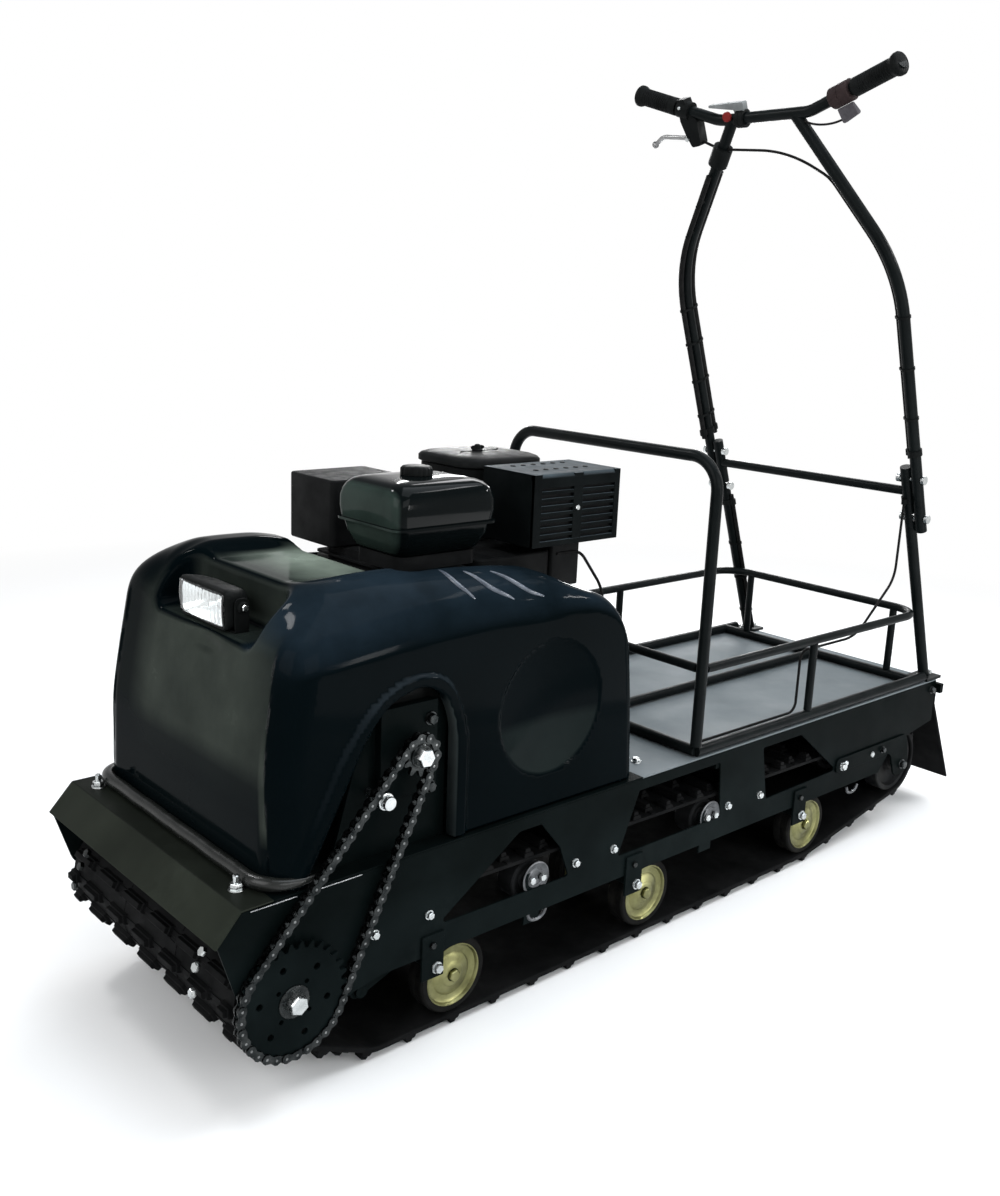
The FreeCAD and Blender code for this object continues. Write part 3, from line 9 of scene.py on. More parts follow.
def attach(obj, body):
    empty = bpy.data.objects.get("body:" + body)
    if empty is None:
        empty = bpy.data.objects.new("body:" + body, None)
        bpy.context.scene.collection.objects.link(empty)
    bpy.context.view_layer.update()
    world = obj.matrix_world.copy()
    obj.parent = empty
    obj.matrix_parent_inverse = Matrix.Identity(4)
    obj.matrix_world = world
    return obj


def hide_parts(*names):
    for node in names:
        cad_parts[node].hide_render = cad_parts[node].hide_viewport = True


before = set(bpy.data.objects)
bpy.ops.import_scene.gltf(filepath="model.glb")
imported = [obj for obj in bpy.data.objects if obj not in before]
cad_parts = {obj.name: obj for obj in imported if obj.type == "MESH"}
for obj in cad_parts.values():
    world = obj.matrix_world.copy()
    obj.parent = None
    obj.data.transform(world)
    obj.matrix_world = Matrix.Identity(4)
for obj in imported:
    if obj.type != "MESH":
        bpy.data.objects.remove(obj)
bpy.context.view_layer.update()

# Lengths are in millimetres up to the point where a mesh is made; lamps, camera and looks are in metres.
MM = 0.001
CHASSIS, UPPER = "chassis", "upper_handlebar"
SIDES = (1, -1)
FORWARD, LEFT, UP = (1, 0, 0), (0, 1, 0), (0, 0, 1)
LEAN = math.radians(21)                       # of the handlebar, back from upright
FOOT = np.array([-745.0, 0.0, 308.0])         # where its centre line starts
HALF_BAR = 254.5                              # from the centre plane to the upper tubes
DRIVE, JACK = (850, 163), (651, 456)          # x and z of the drive axle and of the jackshaft
IDLER = (-645, 142)                           # the same of the idler, and below of the other wheels and bolts
WHEELS, WHEEL_Z = (557, 132, -337), 80.3
ROLLER_BOLTS = ((409, 197), (-12, 189))
CHAIN_Y, CHAIN_PITCH = 266.0, 15.875
BIG, SMALL = (*DRIVE, 78.46), (*JACK, 25.69)  # pitch circles
CAP_AT, BULB_Z = (505, 55), 635
HOOD_BOX, HOOD_STEP = ((182, -258, 300), (880, 262, 716)), 5.6  # where the hood's skin is looked for, how finely
HOOD_FOOT_Z, SHELL_THICK = 309.0, 3.5         # height of its lower edge, and its wall
UNSEEN_DEPTH = -11                            # walls deeper than this under the hood's skin are left out
LUG_PITCH = 41.0                              # along the track
FLOOR_HALF, FADE = 40.0, (1.5, 3.4)           # metres; the floor fades to white over this distance
rng = np.random.default_rng(7)


# ---------- camera
def place_camera():
    yaw, pitch, roll = (math.radians(v) for v in (227.854, -13.728, 2.419))
    ahead = Vector((math.cos(yaw) * math.cos(pitch), math.sin(yaw) * math.cos(pitch), math.sin(pitch)))
    right = Vector((math.sin(yaw), -math.cos(yaw), 0.0))
    up = right.cross(ahead)
    side = right * math.cos(roll) + up * math.sin(roll)
    top = up * math.cos(roll) - right * math.sin(roll)
    data = bpy.data.cameras.new("camera")
    data.sensor_fit, data.sensor_height, data.lens = "VERTICAL", 36.0, 36.45
    data.clip_end = 200.0
    bpy.context.scene.camera = placed("camera", data, (side, top, -ahead), (1.6043, 1.4652, 1.0514))


def placed(name, data, axes, place):
    """A camera or lamp in the scene, its own axes along three directions."""
    item = bpy.data.objects.new(name, data)
    bpy.context.scene.collection.objects.link(item)
    item.matrix_world = Matrix.Translation(place) @ Matrix(axes).transposed().to_4x4()
    return item


# ---------- looks
class Look:
    """The nodes of one material or world: a method adds a node and returns its result."""

    def __init__(self, owner, shader="BsdfPrincipled", out="OutputMaterial"):
        owner.use_nodes = True
        self.owner, self.nodes, self.links = owner, owner.node_tree.nodes, owner.node_tree.links
        self.nodes.clear()
        self.place = self.node("TexCoord").outputs
        self.where = self.place["Object"]
        self.shader = self.node(shader)
        self.out = self.node(out, {0: self.shader.outputs[0]})

    def node(self, kind, inputs=None, **settings):
        item = self.nodes.new("ShaderNode" + kind)
        for key, value in settings.items():
            setattr(item, key, value)
        self.feed(item, inputs or {})
        return item

    def feed(self, item, inputs):
        """Gives inputs a constant or another node's result."""
        for key, value in inputs.items():
            socket = item.inputs[key]
            if isinstance(value, bpy.types.NodeSocket):
                self.links.new(value, socket)
            else:
                socket.default_value = (*value, 1) if socket.type == "RGBA" else value

    def finish(self, inputs):
        self.feed(self.shader, inputs)
        return self.owner

    def axis(self, by, axis):
        """One axis of the place on the object, or of the way the surface faces."""
        return self.node("SeparateXYZ", {0: self.place[by]}).outputs[axis]

    def noise(self, scale, detail=4.0, rough=0.55, where=None):
        return self.node("TexNoise", {"Vector": where or self.where, "Scale": scale, "Detail": detail,
                                      "Roughness": rough}).outputs["Fac"]

    def spread(self, value, low, high, start=0.35, end=0.65):
        return self.node("MapRange", {"Value": value, "From Min": start, "From Max": end, "To Min": low,
                                      "To Max": high}).outputs["Result"]

    def mix(self, share, first, second, kind="RGBA"):
        return self.node("Mix", {"Factor": share, "A": first, "B": second}, data_type=kind).outputs["Result"]

    def maths(self, operation, *values, clamp=False):
        return self.node("Math", dict(enumerate(values)), operation=operation, use_clamp=clamp).outputs[0]

    def times(self, first, *others):
        for value in others:
            first = self.maths("MULTIPLY", first, value)
        return first

    def sum(self, first, *others):
        for value in others:
            first = self.maths("ADD", first, value, clamp=True)
        return first

    def band(self, value, *points):
        """A piecewise straight curve through (input, output) pairs."""
        low, high = points[0][0], points[-1][0]
        item = self.node("ValToRGB", {0: self.spread(value, 0.0, 1.0, low, high)})
        ramp = item.color_ramp.elements
        while len(ramp) < len(points):
            ramp.new(0.5)
        for stop, (place, level) in zip(ramp, points):
            stop.position = (place - low) / (high - low)
            stop.color = (level, level, level, 1)
        return item.outputs["Color"]

    def bump(self, *heights):
        """One normal from several (height, strength, distance in metres)."""
        last = None
        for value, strength, distance in heights:
            item = self.node("Bump", {"Height": value, "Strength": strength, "Distance": distance})
            if last is not None:
                self.links.new(last, item.inputs["Normal"])
            last = item.outputs["Normal"]
        return last


def plain(name, dark, light, rough, patch, grain, deep, metal=0.0, specular=0.025, dust=None, dust_rough=0.75,
          wave=None, scratch=0.0, tints=()):
    """Patches of two tones, uneven gloss and fine grain, and perhaps dust, waves, scratches and tints."""
    look = Look(bpy.data.materials.new(name))
    colour = look.mix(look.spread(look.noise(patch), 0.0, 1.0, 0.3, 0.7), dark, light)
    gloss = look.spread(look.noise(patch * 2.3), *rough)
    if dust:
        powder = look.spread(look.noise(patch * 0.6, 8.0, 0.7), 0.0, 1.0, 0.52, 0.78)
        colour = look.mix(powder, colour, dust)
        gloss = look.mix(powder, gloss, dust_rough, "FLOAT")
    for by, axis, points, tint in tints:
        cloud = look.spread(look.noise(14.0), 0.6, 1.0)
        colour = look.mix(look.times(look.band(look.axis(by, axis), *points), cloud), colour, tint)
    heights = [(look.noise(grain, 3.0), 0.5, deep)]
    if wave:
        heights.append((look.noise(wave[0], 1.0, 0.3), 0.6, wave[1]))
    if scratch:
        stretch = look.node("Mapping", {"Vector": look.where, "Scale": (1.0, 14.0, 9.0)})
        heights.append((look.noise(60.0, 6.0, 0.7, stretch.outputs["Vector"]), 0.4, scratch))
    return look.finish({"Base Color": colour, "Roughness": gloss, "Normal": look.bump(*heights), "Metallic": metal,
                        "Specular IOR Level": specular})


def make_hood_look():
    """Gloss black, with painted light: a matt greenish-grey reflection painted on the upright front panel, and
    reflections and highlights painted where the room shone on the hood.
    """
    look = Look(bpy.data.materials.new("gloss_black_hood"))
    band, times = look.band, look.times
    x, y, z = (look.axis("Object", axis) for axis in "XYZ")
    ahead, up = look.axis("Normal", "X"), look.axis("Normal", "Z")
    width = look.maths("ABSOLUTE", y)
    edge = look.maths("MULTIPLY_ADD", z, 0.085, width)
    cloud = look.spread(look.noise(9.0, 6.0, 0.6), 0.55, 1.0, 0.3, 0.7)
    # front_reflection: painted reflection, lighter greenish grey on the upright front panel (panel) and along its near
    # edge (strip)
    front = band(ahead, (0.6, 0.0), (0.8, 0.55), (0.88, 1.0), (1.0, 1.0))
    panel = times(front, band(z, (0.40, 0.04), (0.435, 0.12), (0.465, 0.85), (0.52, 1.0), (0.60, 0.9), (0.66, 0.5)),
                  band(edge, (0.0, 1.0), (0.16, 1.0), (0.250, 0.6), (0.256, 0.0)),
                  band(y, (-0.17, 0.12), (-0.11, 1.0)), cloud)
    strip = times(front, band(edge, (0.240, 0.0), (0.245, 0.6), (0.254, 0.8), (0.257, 0.0)),
                  band(z, (0.36, 0.0), (0.39, 0.9), (0.47, 0.5), (0.52, 0.0)), band(y, (0.0, 0.0), (0.1, 1.0)))
    front_reflection = look.sum(panel, strip)
    # sheen: painted reflection, bluish on the upward-facing near shoulder
    sheen = times(band(up, (0.10, 0.0), (0.30, 0.35), (0.75, 1.0)), band(y, (0.105, 0.0), (0.14, 1.0)),
                  band(z, (0.565, 0.0), (0.60, 1.0)), look.spread(look.noise(7.0, 5.0, 0.6), 0.35, 1.0))
    # crown: painted light, a pale patch on the flat middle of the top
    crown = times(band(up, (0.90, 0.0), (0.985, 1.0)), band(x, (0.53, 0.0), (0.57, 1.0), (0.66, 0.9), (0.74, 0.1)),
                  band(width, (0.07, 1.0), (0.105, 0.8), (0.12, 0.0)),
                  band(y, (-0.12, 0.5), (-0.03, 1.0), (0.09, 0.8)), cloud)
    near = band(y, (0.20, 0.0), (0.235, 1.0))
    # ridge and post: painted highlights on the arch's raised lip and down its rear edge
    ridge = times(band(up, (0.12, 0.0), (0.7, 1.0)),
                  band(z, (0.36, 0.0), (0.42, 0.7), (0.52, 1.0), (0.565, 1.0), (0.58, 0.0)),
                  band(x, (0.56, 0.0), (0.58, 1.0), (0.80, 1.0), (0.83, 0.0)), near, cloud)
    post = times(band(ahead, (0.3, 0.0), (0.6, 1.0)), band(x, (0.560, 0.0), (0.566, 1.0), (0.592, 1.0), (0.60, 0.0)),
                 band(z, (0.34, 0.4), (0.42, 0.9), (0.50, 1.0), (0.55, 0.0)), near, cloud)
    # dish: painted reflection, a lit lower half of the round dish on the near side
    from_dish = look.node("VectorMath", {0: look.where, 1: (1, 0, 1), 2: (-0.388, 0, -0.466)},
                          operation="MULTIPLY_ADD")
    reach = look.node("VectorMath", {0: from_dish.outputs[0]}, operation="LENGTH").outputs["Value"]
    dish = times(band(reach, (0.0, 1.0), (0.099, 1.0), (0.104, 0.0)), band(z, (0.37, 1.0), (0.440, 0.9), (0.456, 0.0)),
                 band(y, (0.18, 0.0), (0.20, 1.0)), cloud)
    # gleam: painted highlight, a thin bright line along the near crest
    gleam = times(band(y, (0.120, 0.0), (0.131, 1.0), (0.143, 0.0)),
                  band(x, (0.38, 0.0), (0.42, 1.0), (0.66, 1.0), (0.72, 0.0)), band(up, (0.90, 0.0), (0.97, 1.0)),
                  look.spread(look.noise(30.0), 0.25, 1.0, 0.35, 0.6))
    tone = look.spread(look.noise(4.0), 0.0, 1.0, 0.3, 0.7)
    colour = look.mix(tone, (0.0007, 0.0019, 0.0024), (0.0012, 0.0028, 0.0036))
    for share, tint in ((sheen, (0.0095, 0.0165, 0.0235)), (front_reflection, (0.038, 0.045, 0.038)), (crown, (0.24, 0.29, 0.24)),
                        (ridge, (0.015, 0.020, 0.024)), (post, (0.022, 0.027, 0.027)),
                        (dish, (0.0080, 0.0118, 0.0115)), (gleam, (0.020, 0.030, 0.040))):
        colour = look.mix(share, colour, tint)
    gloss = look.mix(look.sum(front_reflection, crown), look.spread(look.noise(9.0), 0.045, 0.10), 0.32, "FLOAT")
    dull_rear = band(ahead, (-0.95, 0.5), (-0.80, 0.12), (-0.6, 0.0))
    return look.finish({"Base Color": colour, "Roughness": look.sum(gloss, dull_rear), "Specular IOR Level": 0.009,
                        "Normal": look.bump((look.noise(260.0, 3.0), 0.5, 0.00001),
                                            (look.noise(7.0, 1.0, 0.3), 0.6, 0.0006))})


def make_glass():
    look = Look(bpy.data.materials.new("clear_lens"))
    return look.finish({"Base Color": (0.93, 0.95, 0.95), "Transmission Weight": 1.0, "IOR": 1.49,
                        "Roughness": look.spread(look.noise(40.0), 0.02, 0.12),
                        "Normal": look.bump((look.noise(160.0, 1.0), 0.5, 0.0006))})


# Each look: name, dark and light tone, range of roughness, scale of the patches and of the grain, depth of the grain.
M = {
    # paint: the tints are painted shade, darker towards the rear and from 0.26 m up
    "paint": plain("black_powder_coat", (0.0022, 0.0038, 0.0040), (0.0050, 0.0078, 0.0080), (0.28, 0.42), 9, 700, 1e-4,
                   dust=(0.010, 0.0135, 0.0135), specular=0.012,
                   tints=(("Object", "X", ((-0.7, 1.0), (-0.45, 0.8), (-0.15, 0.0)), (0.0010, 0.0020, 0.0019)),
                          ("Object", "Z", ((0.215, 0.0), (0.26, 0.8)), (0.0012, 0.0023, 0.0022)))),
    "tube": plain("black_tube_coat", (0.0022, 0.0032, 0.0034), (0.0048, 0.0064, 0.0066), (0.28, 0.42), 16, 800, 1e-4,
                  specular=0.05),
    # guard: the tint is painted shade, darker on upward faces
    "guard": plain("dark_guard_paint", (0.0110, 0.0132, 0.0100), (0.018, 0.0212, 0.0160), (0.34, 0.5), 7, 700, 1e-4,
                   dust=(0.028, 0.033, 0.026), tints=(("Normal", "Z", ((0.75, 0.0), (0.9, 0.75)),
                                                       (0.004, 0.005, 0.0042)),)),
    # cover: the tint is painted light, lighter and bluish on upward faces
    "cover": plain("muffler_cover_coat", (0.0024, 0.0032, 0.0034), (0.005, 0.0064, 0.0066), (0.28, 0.42), 16, 800,
                   1e-4, specular=0.015, tints=(("Normal", "Z", ((0.25, 0.0), (0.7, 1.0)), (0.040, 0.052, 0.060)),)),
    "lip": plain("hood_lip_gloss", (0.007, 0.0078, 0.007), (0.012, 0.013, 0.012), (0.22, 0.34), 16, 600, 5e-5,
                 specular=0.3),
    # louvre: the ribs are hood plastic drawn lighter, a painted highlight
    "louvre": plain("louvre_edge_gloss", (0.035, 0.045, 0.06), (0.09, 0.105, 0.13), (0.15, 0.3), 60, 600, 5e-5,
                    specular=0.5),
    "pin": plain("bright_chain_pins", (0.11, 0.114, 0.114), (0.23, 0.234, 0.234), (0.22, 0.36), 90, 1200, 5e-5, 1.0),
    "deck": plain("grey_deck_sheet", (0.098, 0.115, 0.122), (0.145, 0.163, 0.172), (0.42, 0.58), 5, 500, 6e-5,
                  specular=0.04, dust=(0.17, 0.183, 0.188), wave=(6.0, 0.0008), scratch=0.00003),
    "zinc": plain("bright_zinc", (0.40, 0.42, 0.42), (0.58, 0.60, 0.60), (0.18, 0.34), 60, 1500, 4e-5, 1.0),
    "dull_zinc": plain("dull_zinc", (0.16, 0.165, 0.17), (0.30, 0.305, 0.31), (0.3, 0.5), 70, 1200, 8e-5, 1.0),
    # dark_zinc: dull zinc made darker for the roller flanges and spring hooks, a painted shade
    "dark_zinc": plain("dark_zinc", (0.065, 0.068, 0.072), (0.13, 0.134, 0.14), (0.3, 0.5), 70, 1200, 8e-5, 1.0),
    "gold": plain("yellow_zinc", (0.13, 0.128, 0.053), (0.26, 0.255, 0.120), (0.28, 0.46), 26, 1400, 5e-5, 1.0,
                  dust=(0.07, 0.068, 0.036), dust_rough=0.6),
    "chain": plain("oiled_chain_steel", (0.010, 0.012, 0.0125), (0.042, 0.045, 0.045), (0.18, 0.36), 90, 1200, 5e-5,
                   1.0),
    "lever": plain("lever_metal", (0.16, 0.16, 0.16), (0.30, 0.30, 0.30), (0.3, 0.45), 50, 900, 1e-4, 1.0),
    "mirror": plain("lamp_mirror", (0.85, 0.86, 0.87), (0.93, 0.94, 0.95), (0.08, 0.2), 60, 300, 4e-4, 1.0),
    "hood": make_hood_look(),
    "glass": make_glass(),
    "plastic": plain("matte_black_plastic", (0.004, 0.0046, 0.0046), (0.008, 0.0088, 0.0088), (0.36, 0.5), 20, 1100,
                     1.5e-4),
    "warm_plastic": plain("brownish_plastic", (0.020, 0.014, 0.014), (0.034, 0.024, 0.024), (0.36, 0.5), 40, 1000,
                          1.2e-4),
    "grey_plastic": plain("grey_lever_plastic", (0.05, 0.047, 0.052), (0.085, 0.08, 0.088), (0.36, 0.5), 40, 1000,
                          1.2e-4),
    "plate": plain("grey_switch_plate", (0.13, 0.14, 0.14), (0.20, 0.21, 0.21), (0.35, 0.5), 40, 900, 1e-4),
    "red": plain("red_button", (0.13, 0.014, 0.014), (0.19, 0.022, 0.02), (0.3, 0.42), 60, 900, 1e-4),
    "cable": plain("black_cable_jacket", (0.006, 0.006, 0.006), (0.011, 0.011, 0.011), (0.35, 0.5), 60, 1300, 1e-4),
    "roller": plain("dark_roller_plastic", (0.006, 0.0065, 0.007), (0.013, 0.0135, 0.014), (0.42, 0.6), 24, 900,
                    1.5e-4, dust=(0.028, 0.028, 0.026)),
    "rib_rubber": plain("black_track_rubber", (0.003, 0.0032, 0.0034), (0.007, 0.0072, 0.0074), (0.5, 0.7), 18, 420,
                        2.5e-4, dust=(0.012, 0.0122, 0.0122)),
    "soft_rubber": plain("black_grip_rubber", (0.004, 0.0045, 0.0045), (0.009, 0.0098, 0.0098), (0.45, 0.6), 40, 900,
                         2e-4),
    "tyre": plain("black_wheel_rubber", (0.004, 0.004, 0.004), (0.009, 0.009, 0.0085), (0.5, 0.7), 30, 600, 2e-4,
                  dust=(0.022, 0.021, 0.018)),
    # tank: the tint is painted reflection, lighter teal on forward faces
    "tank": plain("gloss_tank_paint", (0.0014, 0.0024, 0.0026), (0.0024, 0.0036, 0.0038), (0.05, 0.11), 8, 300, 1e-5,
                  specular=0.055, wave=(14.0, 0.0002),
                  tints=(("Normal", "X", ((0.55, 0.0), (0.8, 1.0)), (0.022, 0.034, 0.029)),)),
    "engine": plain("black_engine_cast", (0.005, 0.0053, 0.0055), (0.011, 0.0115, 0.0118), (0.36, 0.52), 22, 650,
                    3e-4),
}


NODE_LOOK = {
    "paint": "side_plate_left side_plate_right crossmembers tow_hitch shaft_brackets track_tensioners chain_plate "
             "return_axles trailing_arms",
    "tube": "deck_frame tall_hoop cargo_rail handlebar_legs handlebar",
    "guard": "front_guard", "deck": "deck_plate engine_bed",
    "zinc": "pivot_bolts lock_bolts idler_axle drive_axle drive_bearings jackshaft chain_tensioner",
    "gold": "road_wheels", "tyre": "wheel_tyres", "chain": "drive_chain chain_sprockets",
    "hood": "hood", "rib_rubber": "track mud_flap", "soft_rubber": "handlebar_grips",
    "plastic": "brake_perch throttle_housing throttle_lever stop_switch bar_clips cable_splitter cable_clips "
               "headlight fuel_cap air_cleaner recoil_housing",
    "roller": "plain_rollers idler_wheels track_sprockets",
    "tank": "fuel_tank", "engine": "engine_block muffler_guard",
    "cable": "brake_cable upper_loom leg_cable leg_loom engine_cable",
    "lever": "brake_lever", "glass": "headlight_lens",
}

SLOT_OF = {look: slot for slot, looks in {
    "black_plastic": "plastic warm_plastic plate red mirror", "hood_plastic": "louvre lip",
    "track_rubber": "rib_rubber", "chain_steel": "chain pin", "zinc": "zinc dull_zinc dark_zinc",
    "gold_zinc": "gold", "tyre_rubber": "tyre", "roller_plastic": "roller", "tank_paint": "tank",
    "engine_metal": "engine", "lamp_glass": "glass", "frame_paint": "cover", "grip_rubber": "soft_rubber",
    "cable_jacket": "cable"}.items() for look in looks.split()}


def dress_nodes():
    for look, names in NODE_LOOK.items():
        for name in names.split():
            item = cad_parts[name]
            item.data.materials.clear()
            item.data.materials.append(M[look])


# ---------- mesh tools
def reworked(mesh, merge=0.0, flatten=False):
    """Merges close points, then joins flat faces or turns all faces outwards."""
    work = bmesh.new()
    work.from_mesh(mesh)
    if merge:
        bmesh.ops.remove_doubles(work, verts=work.verts, dist=merge)
    if flatten:
        bmesh.ops.dissolve_limit(work, angle_limit=math.radians(1.0), verts=work.verts, edges=work.edges)
    else:
        bmesh.ops.recalc_face_normals(work, faces=work.faces)
    work.to_mesh(mesh)
    work.free()
    return mesh


def mesh_of(name, parts):
    """One mesh from several (points, faces) pairs."""
    points, faces, start = [], [], 0
    for some, loops in parts:
        points.append(np.asarray(some, float).reshape(-1, 3))
        faces += [[i + start for i in loop] for loop in loops]
        start += len(points[-1])
    mesh = bpy.data.meshes.new(name)
    mesh.from_pydata((np.concatenate(points) * MM).tolist(), [], faces)
    mesh.validate()
    return reworked(mesh)


def add(name, parts, look, body=CHASSIS, **how):
    """A new piece from (points, faces) pairs; the slot, from its look unless one is given, is not used."""
    how.setdefault("slot", SLOT_OF.get(look))
    return finish_piece(name, mesh_of(name, parts), look, body, **how)


def finish_piece(name, mesh, look, body=CHASSIS, sharp=35.0, bevel=0.0, replaces=(), slot=None, segments=2):
    mesh.polygons.foreach_set("use_smooth", [True] * len(mesh.polygons))
    mesh.set_sharp_from_angle(angle=math.radians(sharp))
    mesh.materials.clear()
    mesh.materials.append(M[look])
    item = bpy.data.objects.new(name, mesh)
    bpy.context.scene.collection.objects.link(item)
    if bevel:
        round_off = item.modifiers.new("bevel", "BEVEL")
        round_off.width, round_off.segments = bevel * MM, segments
        round_off.limit_method, round_off.angle_limit = "ANGLE", math.radians(sharp)
        round_off.harden_normals = True
        round_off.miter_outer = "MITER_ARC"
    if replaces:
        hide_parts(*replaces)
    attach(item, body)
    return item


def softened(node, look, width, body=CHASSIS, segments=2):
    """A copy of a CAD node with its edges rounded, shown in its place."""
    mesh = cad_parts[node].data.copy()
    mesh.name = node + "_soft"
    finish_piece(node + "_soft", reworked(mesh, 0.00002, flatten=True), look, body, 30.0, width, (node,),
                 segments=segments)


def grid(rows, close_rows=False, close_columns=True):
    """Quads over a list of equally long rows of points."""
    rows = [np.asarray(row, float) for row in rows]
    tall, wide = len(rows), len(rows[0])
    faces = []
    for i in range(tall if close_rows else tall - 1):
        for j in range(wide if close_columns else wide - 1):
            k, m = (i + 1) % tall, (j + 1) % wide
            faces.append([i * wide + j, i * wide + m, k * wide + m, k * wide + j])
    return np.concatenate(rows), faces


def capped(rows):
    """A closed tube: every row is a loop, and both ends are filled."""
    points, faces = grid(rows)
    wide = len(rows[0])
    faces.append(list(range(wide))[::-1])
    faces.append([len(points) - wide + j for j in range(wide)])
    return points, faces


def axes_of(axis):
    axis = np.asarray(axis, float)
    axis = axis / np.linalg.norm(axis)
    other = np.array([0.0, 0.0, 1.0]) if abs(axis[2]) < 0.9 else np.array([1.0, 0.0, 0.0])
    first = np.cross(other, axis)
    first /= np.linalg.norm(first)
    return axis, first, np.cross(axis, first)


def around(sides):
    return np.linspace(0, 2 * math.pi, sides, endpoint=False)


def circle(angles, first, second):
    return np.outer(np.cos(angles), first) + np.outer(np.sin(angles), second)


def lathe(profile, centre, axis, sides=48):
    """(distance along the axis, radius) pairs turned about the axis."""
    axis, first, second = axes_of(axis)
    turn = circle(around(sides), first, second)
    return grid([centre + axis * along + radius * turn for along, radius in profile], close_rows=True)


def hexagon(centre, axis, across, high, turn=0.0):
    """A hexagonal head with a chamfered crown."""
    axis, first, second = axes_of(axis)
    six = across / math.sqrt(3) * circle(np.radians(np.arange(0, 360, 60) + turn), first, second)
    return capped([centre + axis * along + size * six
                   for along, size in ((0, 1.0), (high * 0.78, 1.0), (high, 0.86))])


def bolt(centre, axis, across, washer=True, stud=0.0):
    """A head turned at random, on a washer, perhaps with a threaded end above it."""
    axis = np.asarray(axis, float) / np.linalg.norm(axis)
    parts, high = [], across * 0.5
    if washer:
        parts.append(lathe([(0, 0.4 * across), (0, across * 0.72), (1.6, across * 0.69), (1.6, 0.4 * across)],
                           centre, axis, 20))
        centre = centre + axis * 1.6
    parts.append(hexagon(centre, axis, across, high, rng.uniform(0, 60)))
    if stud:
        parts.append(lathe([(high - 1, 0.01), (high - 1, across * 0.3), (high + stud - 1, across * 0.3),
                            (high + stud, across * 0.22), (high + stud, 0.01)], centre, axis, 12))
    return parts


def knob(profile, centre, axis=LEFT, sides=12):
    """A solid turned part: the profile leaves out the hairline hole at its axis."""
    return lathe([(profile[0][0], 0.1), *profile, (profile[-1][0], 0.1)], centre, axis, sides)


def block(low, high):
    (a, b, c), (d, e, f) = low, high
    return capped([[(a, b, z), (d, b, z), (d, e, z), (a, e, z)] for z in (c, f)])


def rounded(corners, radii, steps=6):
    """A closed outline with arcs at its corners: points in two dimensions."""
    corners = np.asarray(corners, float)
    out = []
    for i, (corner, radius) in enumerate(zip(corners, np.broadcast_to(radii, len(corners)))):
        u, v = corners[i - 1] - corner, corners[(i + 1) % len(corners)] - corner
        u, v = u / np.linalg.norm(u), v / np.linalg.norm(v)
        half = math.acos(max(-1, min(1, float(u @ v)))) / 2
        middle = corner + (u + v) / np.linalg.norm(u + v) * radius / math.sin(half)
        a, b = (corner + w * radius / math.tan(half) - middle for w in (u, v))
        turn = math.atan2(a[0] * b[1] - a[1] * b[0], float(a @ b))
        for k in range(steps + 1):
            c, s = math.cos(turn * k / steps), math.sin(turn * k / steps)
            out.append(middle + (a[0] * c - a[1] * s, a[0] * s + a[1] * c))
    return np.array(out)


def slab(outline, low, high):
    """An outline in the side view given width, from y = low to high."""
    outline = np.asarray(outline, float)
    return capped([np.insert(outline, 1, y, axis=1) for y in (low, high)])


def sweep(path, radius, sides=12):
    """A round bar along points; the radius may differ from point to point."""
    path = np.asarray(path, float)
    ahead = np.gradient(path, axis=0)
    ahead /= np.linalg.norm(ahead, axis=1)[:, None]
    _, first, second = axes_of(ahead[0])
    rows = []
    for point, along, size in zip(path, ahead, np.broadcast_to(radius, len(path))):
        first = first - along * (first @ along)
        first /= np.linalg.norm(first)
        rows.append(point + size * circle(around(sides), first, np.cross(along, first)))
    return capped(rows)


def smooth_line(points, count):
    """Points along a smooth line through a few given ones."""
    points = np.asarray(points, float)
    t = np.concatenate([[0], np.cumsum(np.linalg.norm(np.diff(points, axis=0), axis=1))])
    wide = np.gradient(points, t, axis=0)
    out = []
    for s in np.linspace(0, t[-1], count):
        i = min(np.searchsorted(t, s, side="right") - 1, len(t) - 2)
        h = t[i + 1] - t[i]
        u = (s - t[i]) / h
        out.append((2 * u ** 3 - 3 * u ** 2 + 1) * points[i] + (u ** 3 - 2 * u ** 2 + u) * h * wide[i]
                   + (3 * u ** 2 - 2 * u ** 3) * points[i + 1] + (u ** 3 - u ** 2) * h * wide[i + 1])
    return np.array(out)


def on_lean(y, along, ahead=0.0):
    """A point given along the leaning handlebar, from its foot."""
    return FOOT + np.array([math.sin(LEAN) * along + math.cos(LEAN) * ahead, y,
                            math.cos(LEAN) * along - math.sin(LEAN) * ahead])


# ---------- hood
def both(first, second, radius):
    """Inside both, with an edge of this radius."""
    u, v = np.maximum(radius + first, 0), np.maximum(radius + second, 0)
    return np.minimum(-radius, np.maximum(first, second)) + np.sqrt(u * u + v * v)


def ease(value, low, high):
    t = np.clip((value - low) / (high - low), 0, 1)
    return t * t * (3 - 2 * t)


ARCH = [(578, 250), (580, 505), (622, 549), (664, 547), (712, 520), (846, 262)]


def arch_field(x, z):
    """How far a point in the side view is from the arch's outline, negative inside."""
    result = None
    for i, (ax, az) in enumerate(ARCH):
        bx, bz = ARCH[(i + 1) % len(ARCH)]
        long = math.hypot(bx - ax, bz - az)
        nx, nz = -(bz - az) / long, (bx - ax) / long
        side = (x - ax) * nx + (z - az) * nz
        result = side if result is None else both(result, side, 26.0)
    return result


CREST = np.array([(150, 500), (205, 545), (229, 583), (246, 606), (263, 619), (300, 631), (330, 642), (378, 665),
                  (411, 672), (495, 680), (553, 683), (600, 683.5), (657, 684), (693, 682), (730, 680), (780, 676),
                  (880, 672)], float)
FAR_CREST = np.array([(540, -12), (579, -10), (604, -4), (640, 4), (716, 10), (747, 11), (800, 14), (880, 14)], float)


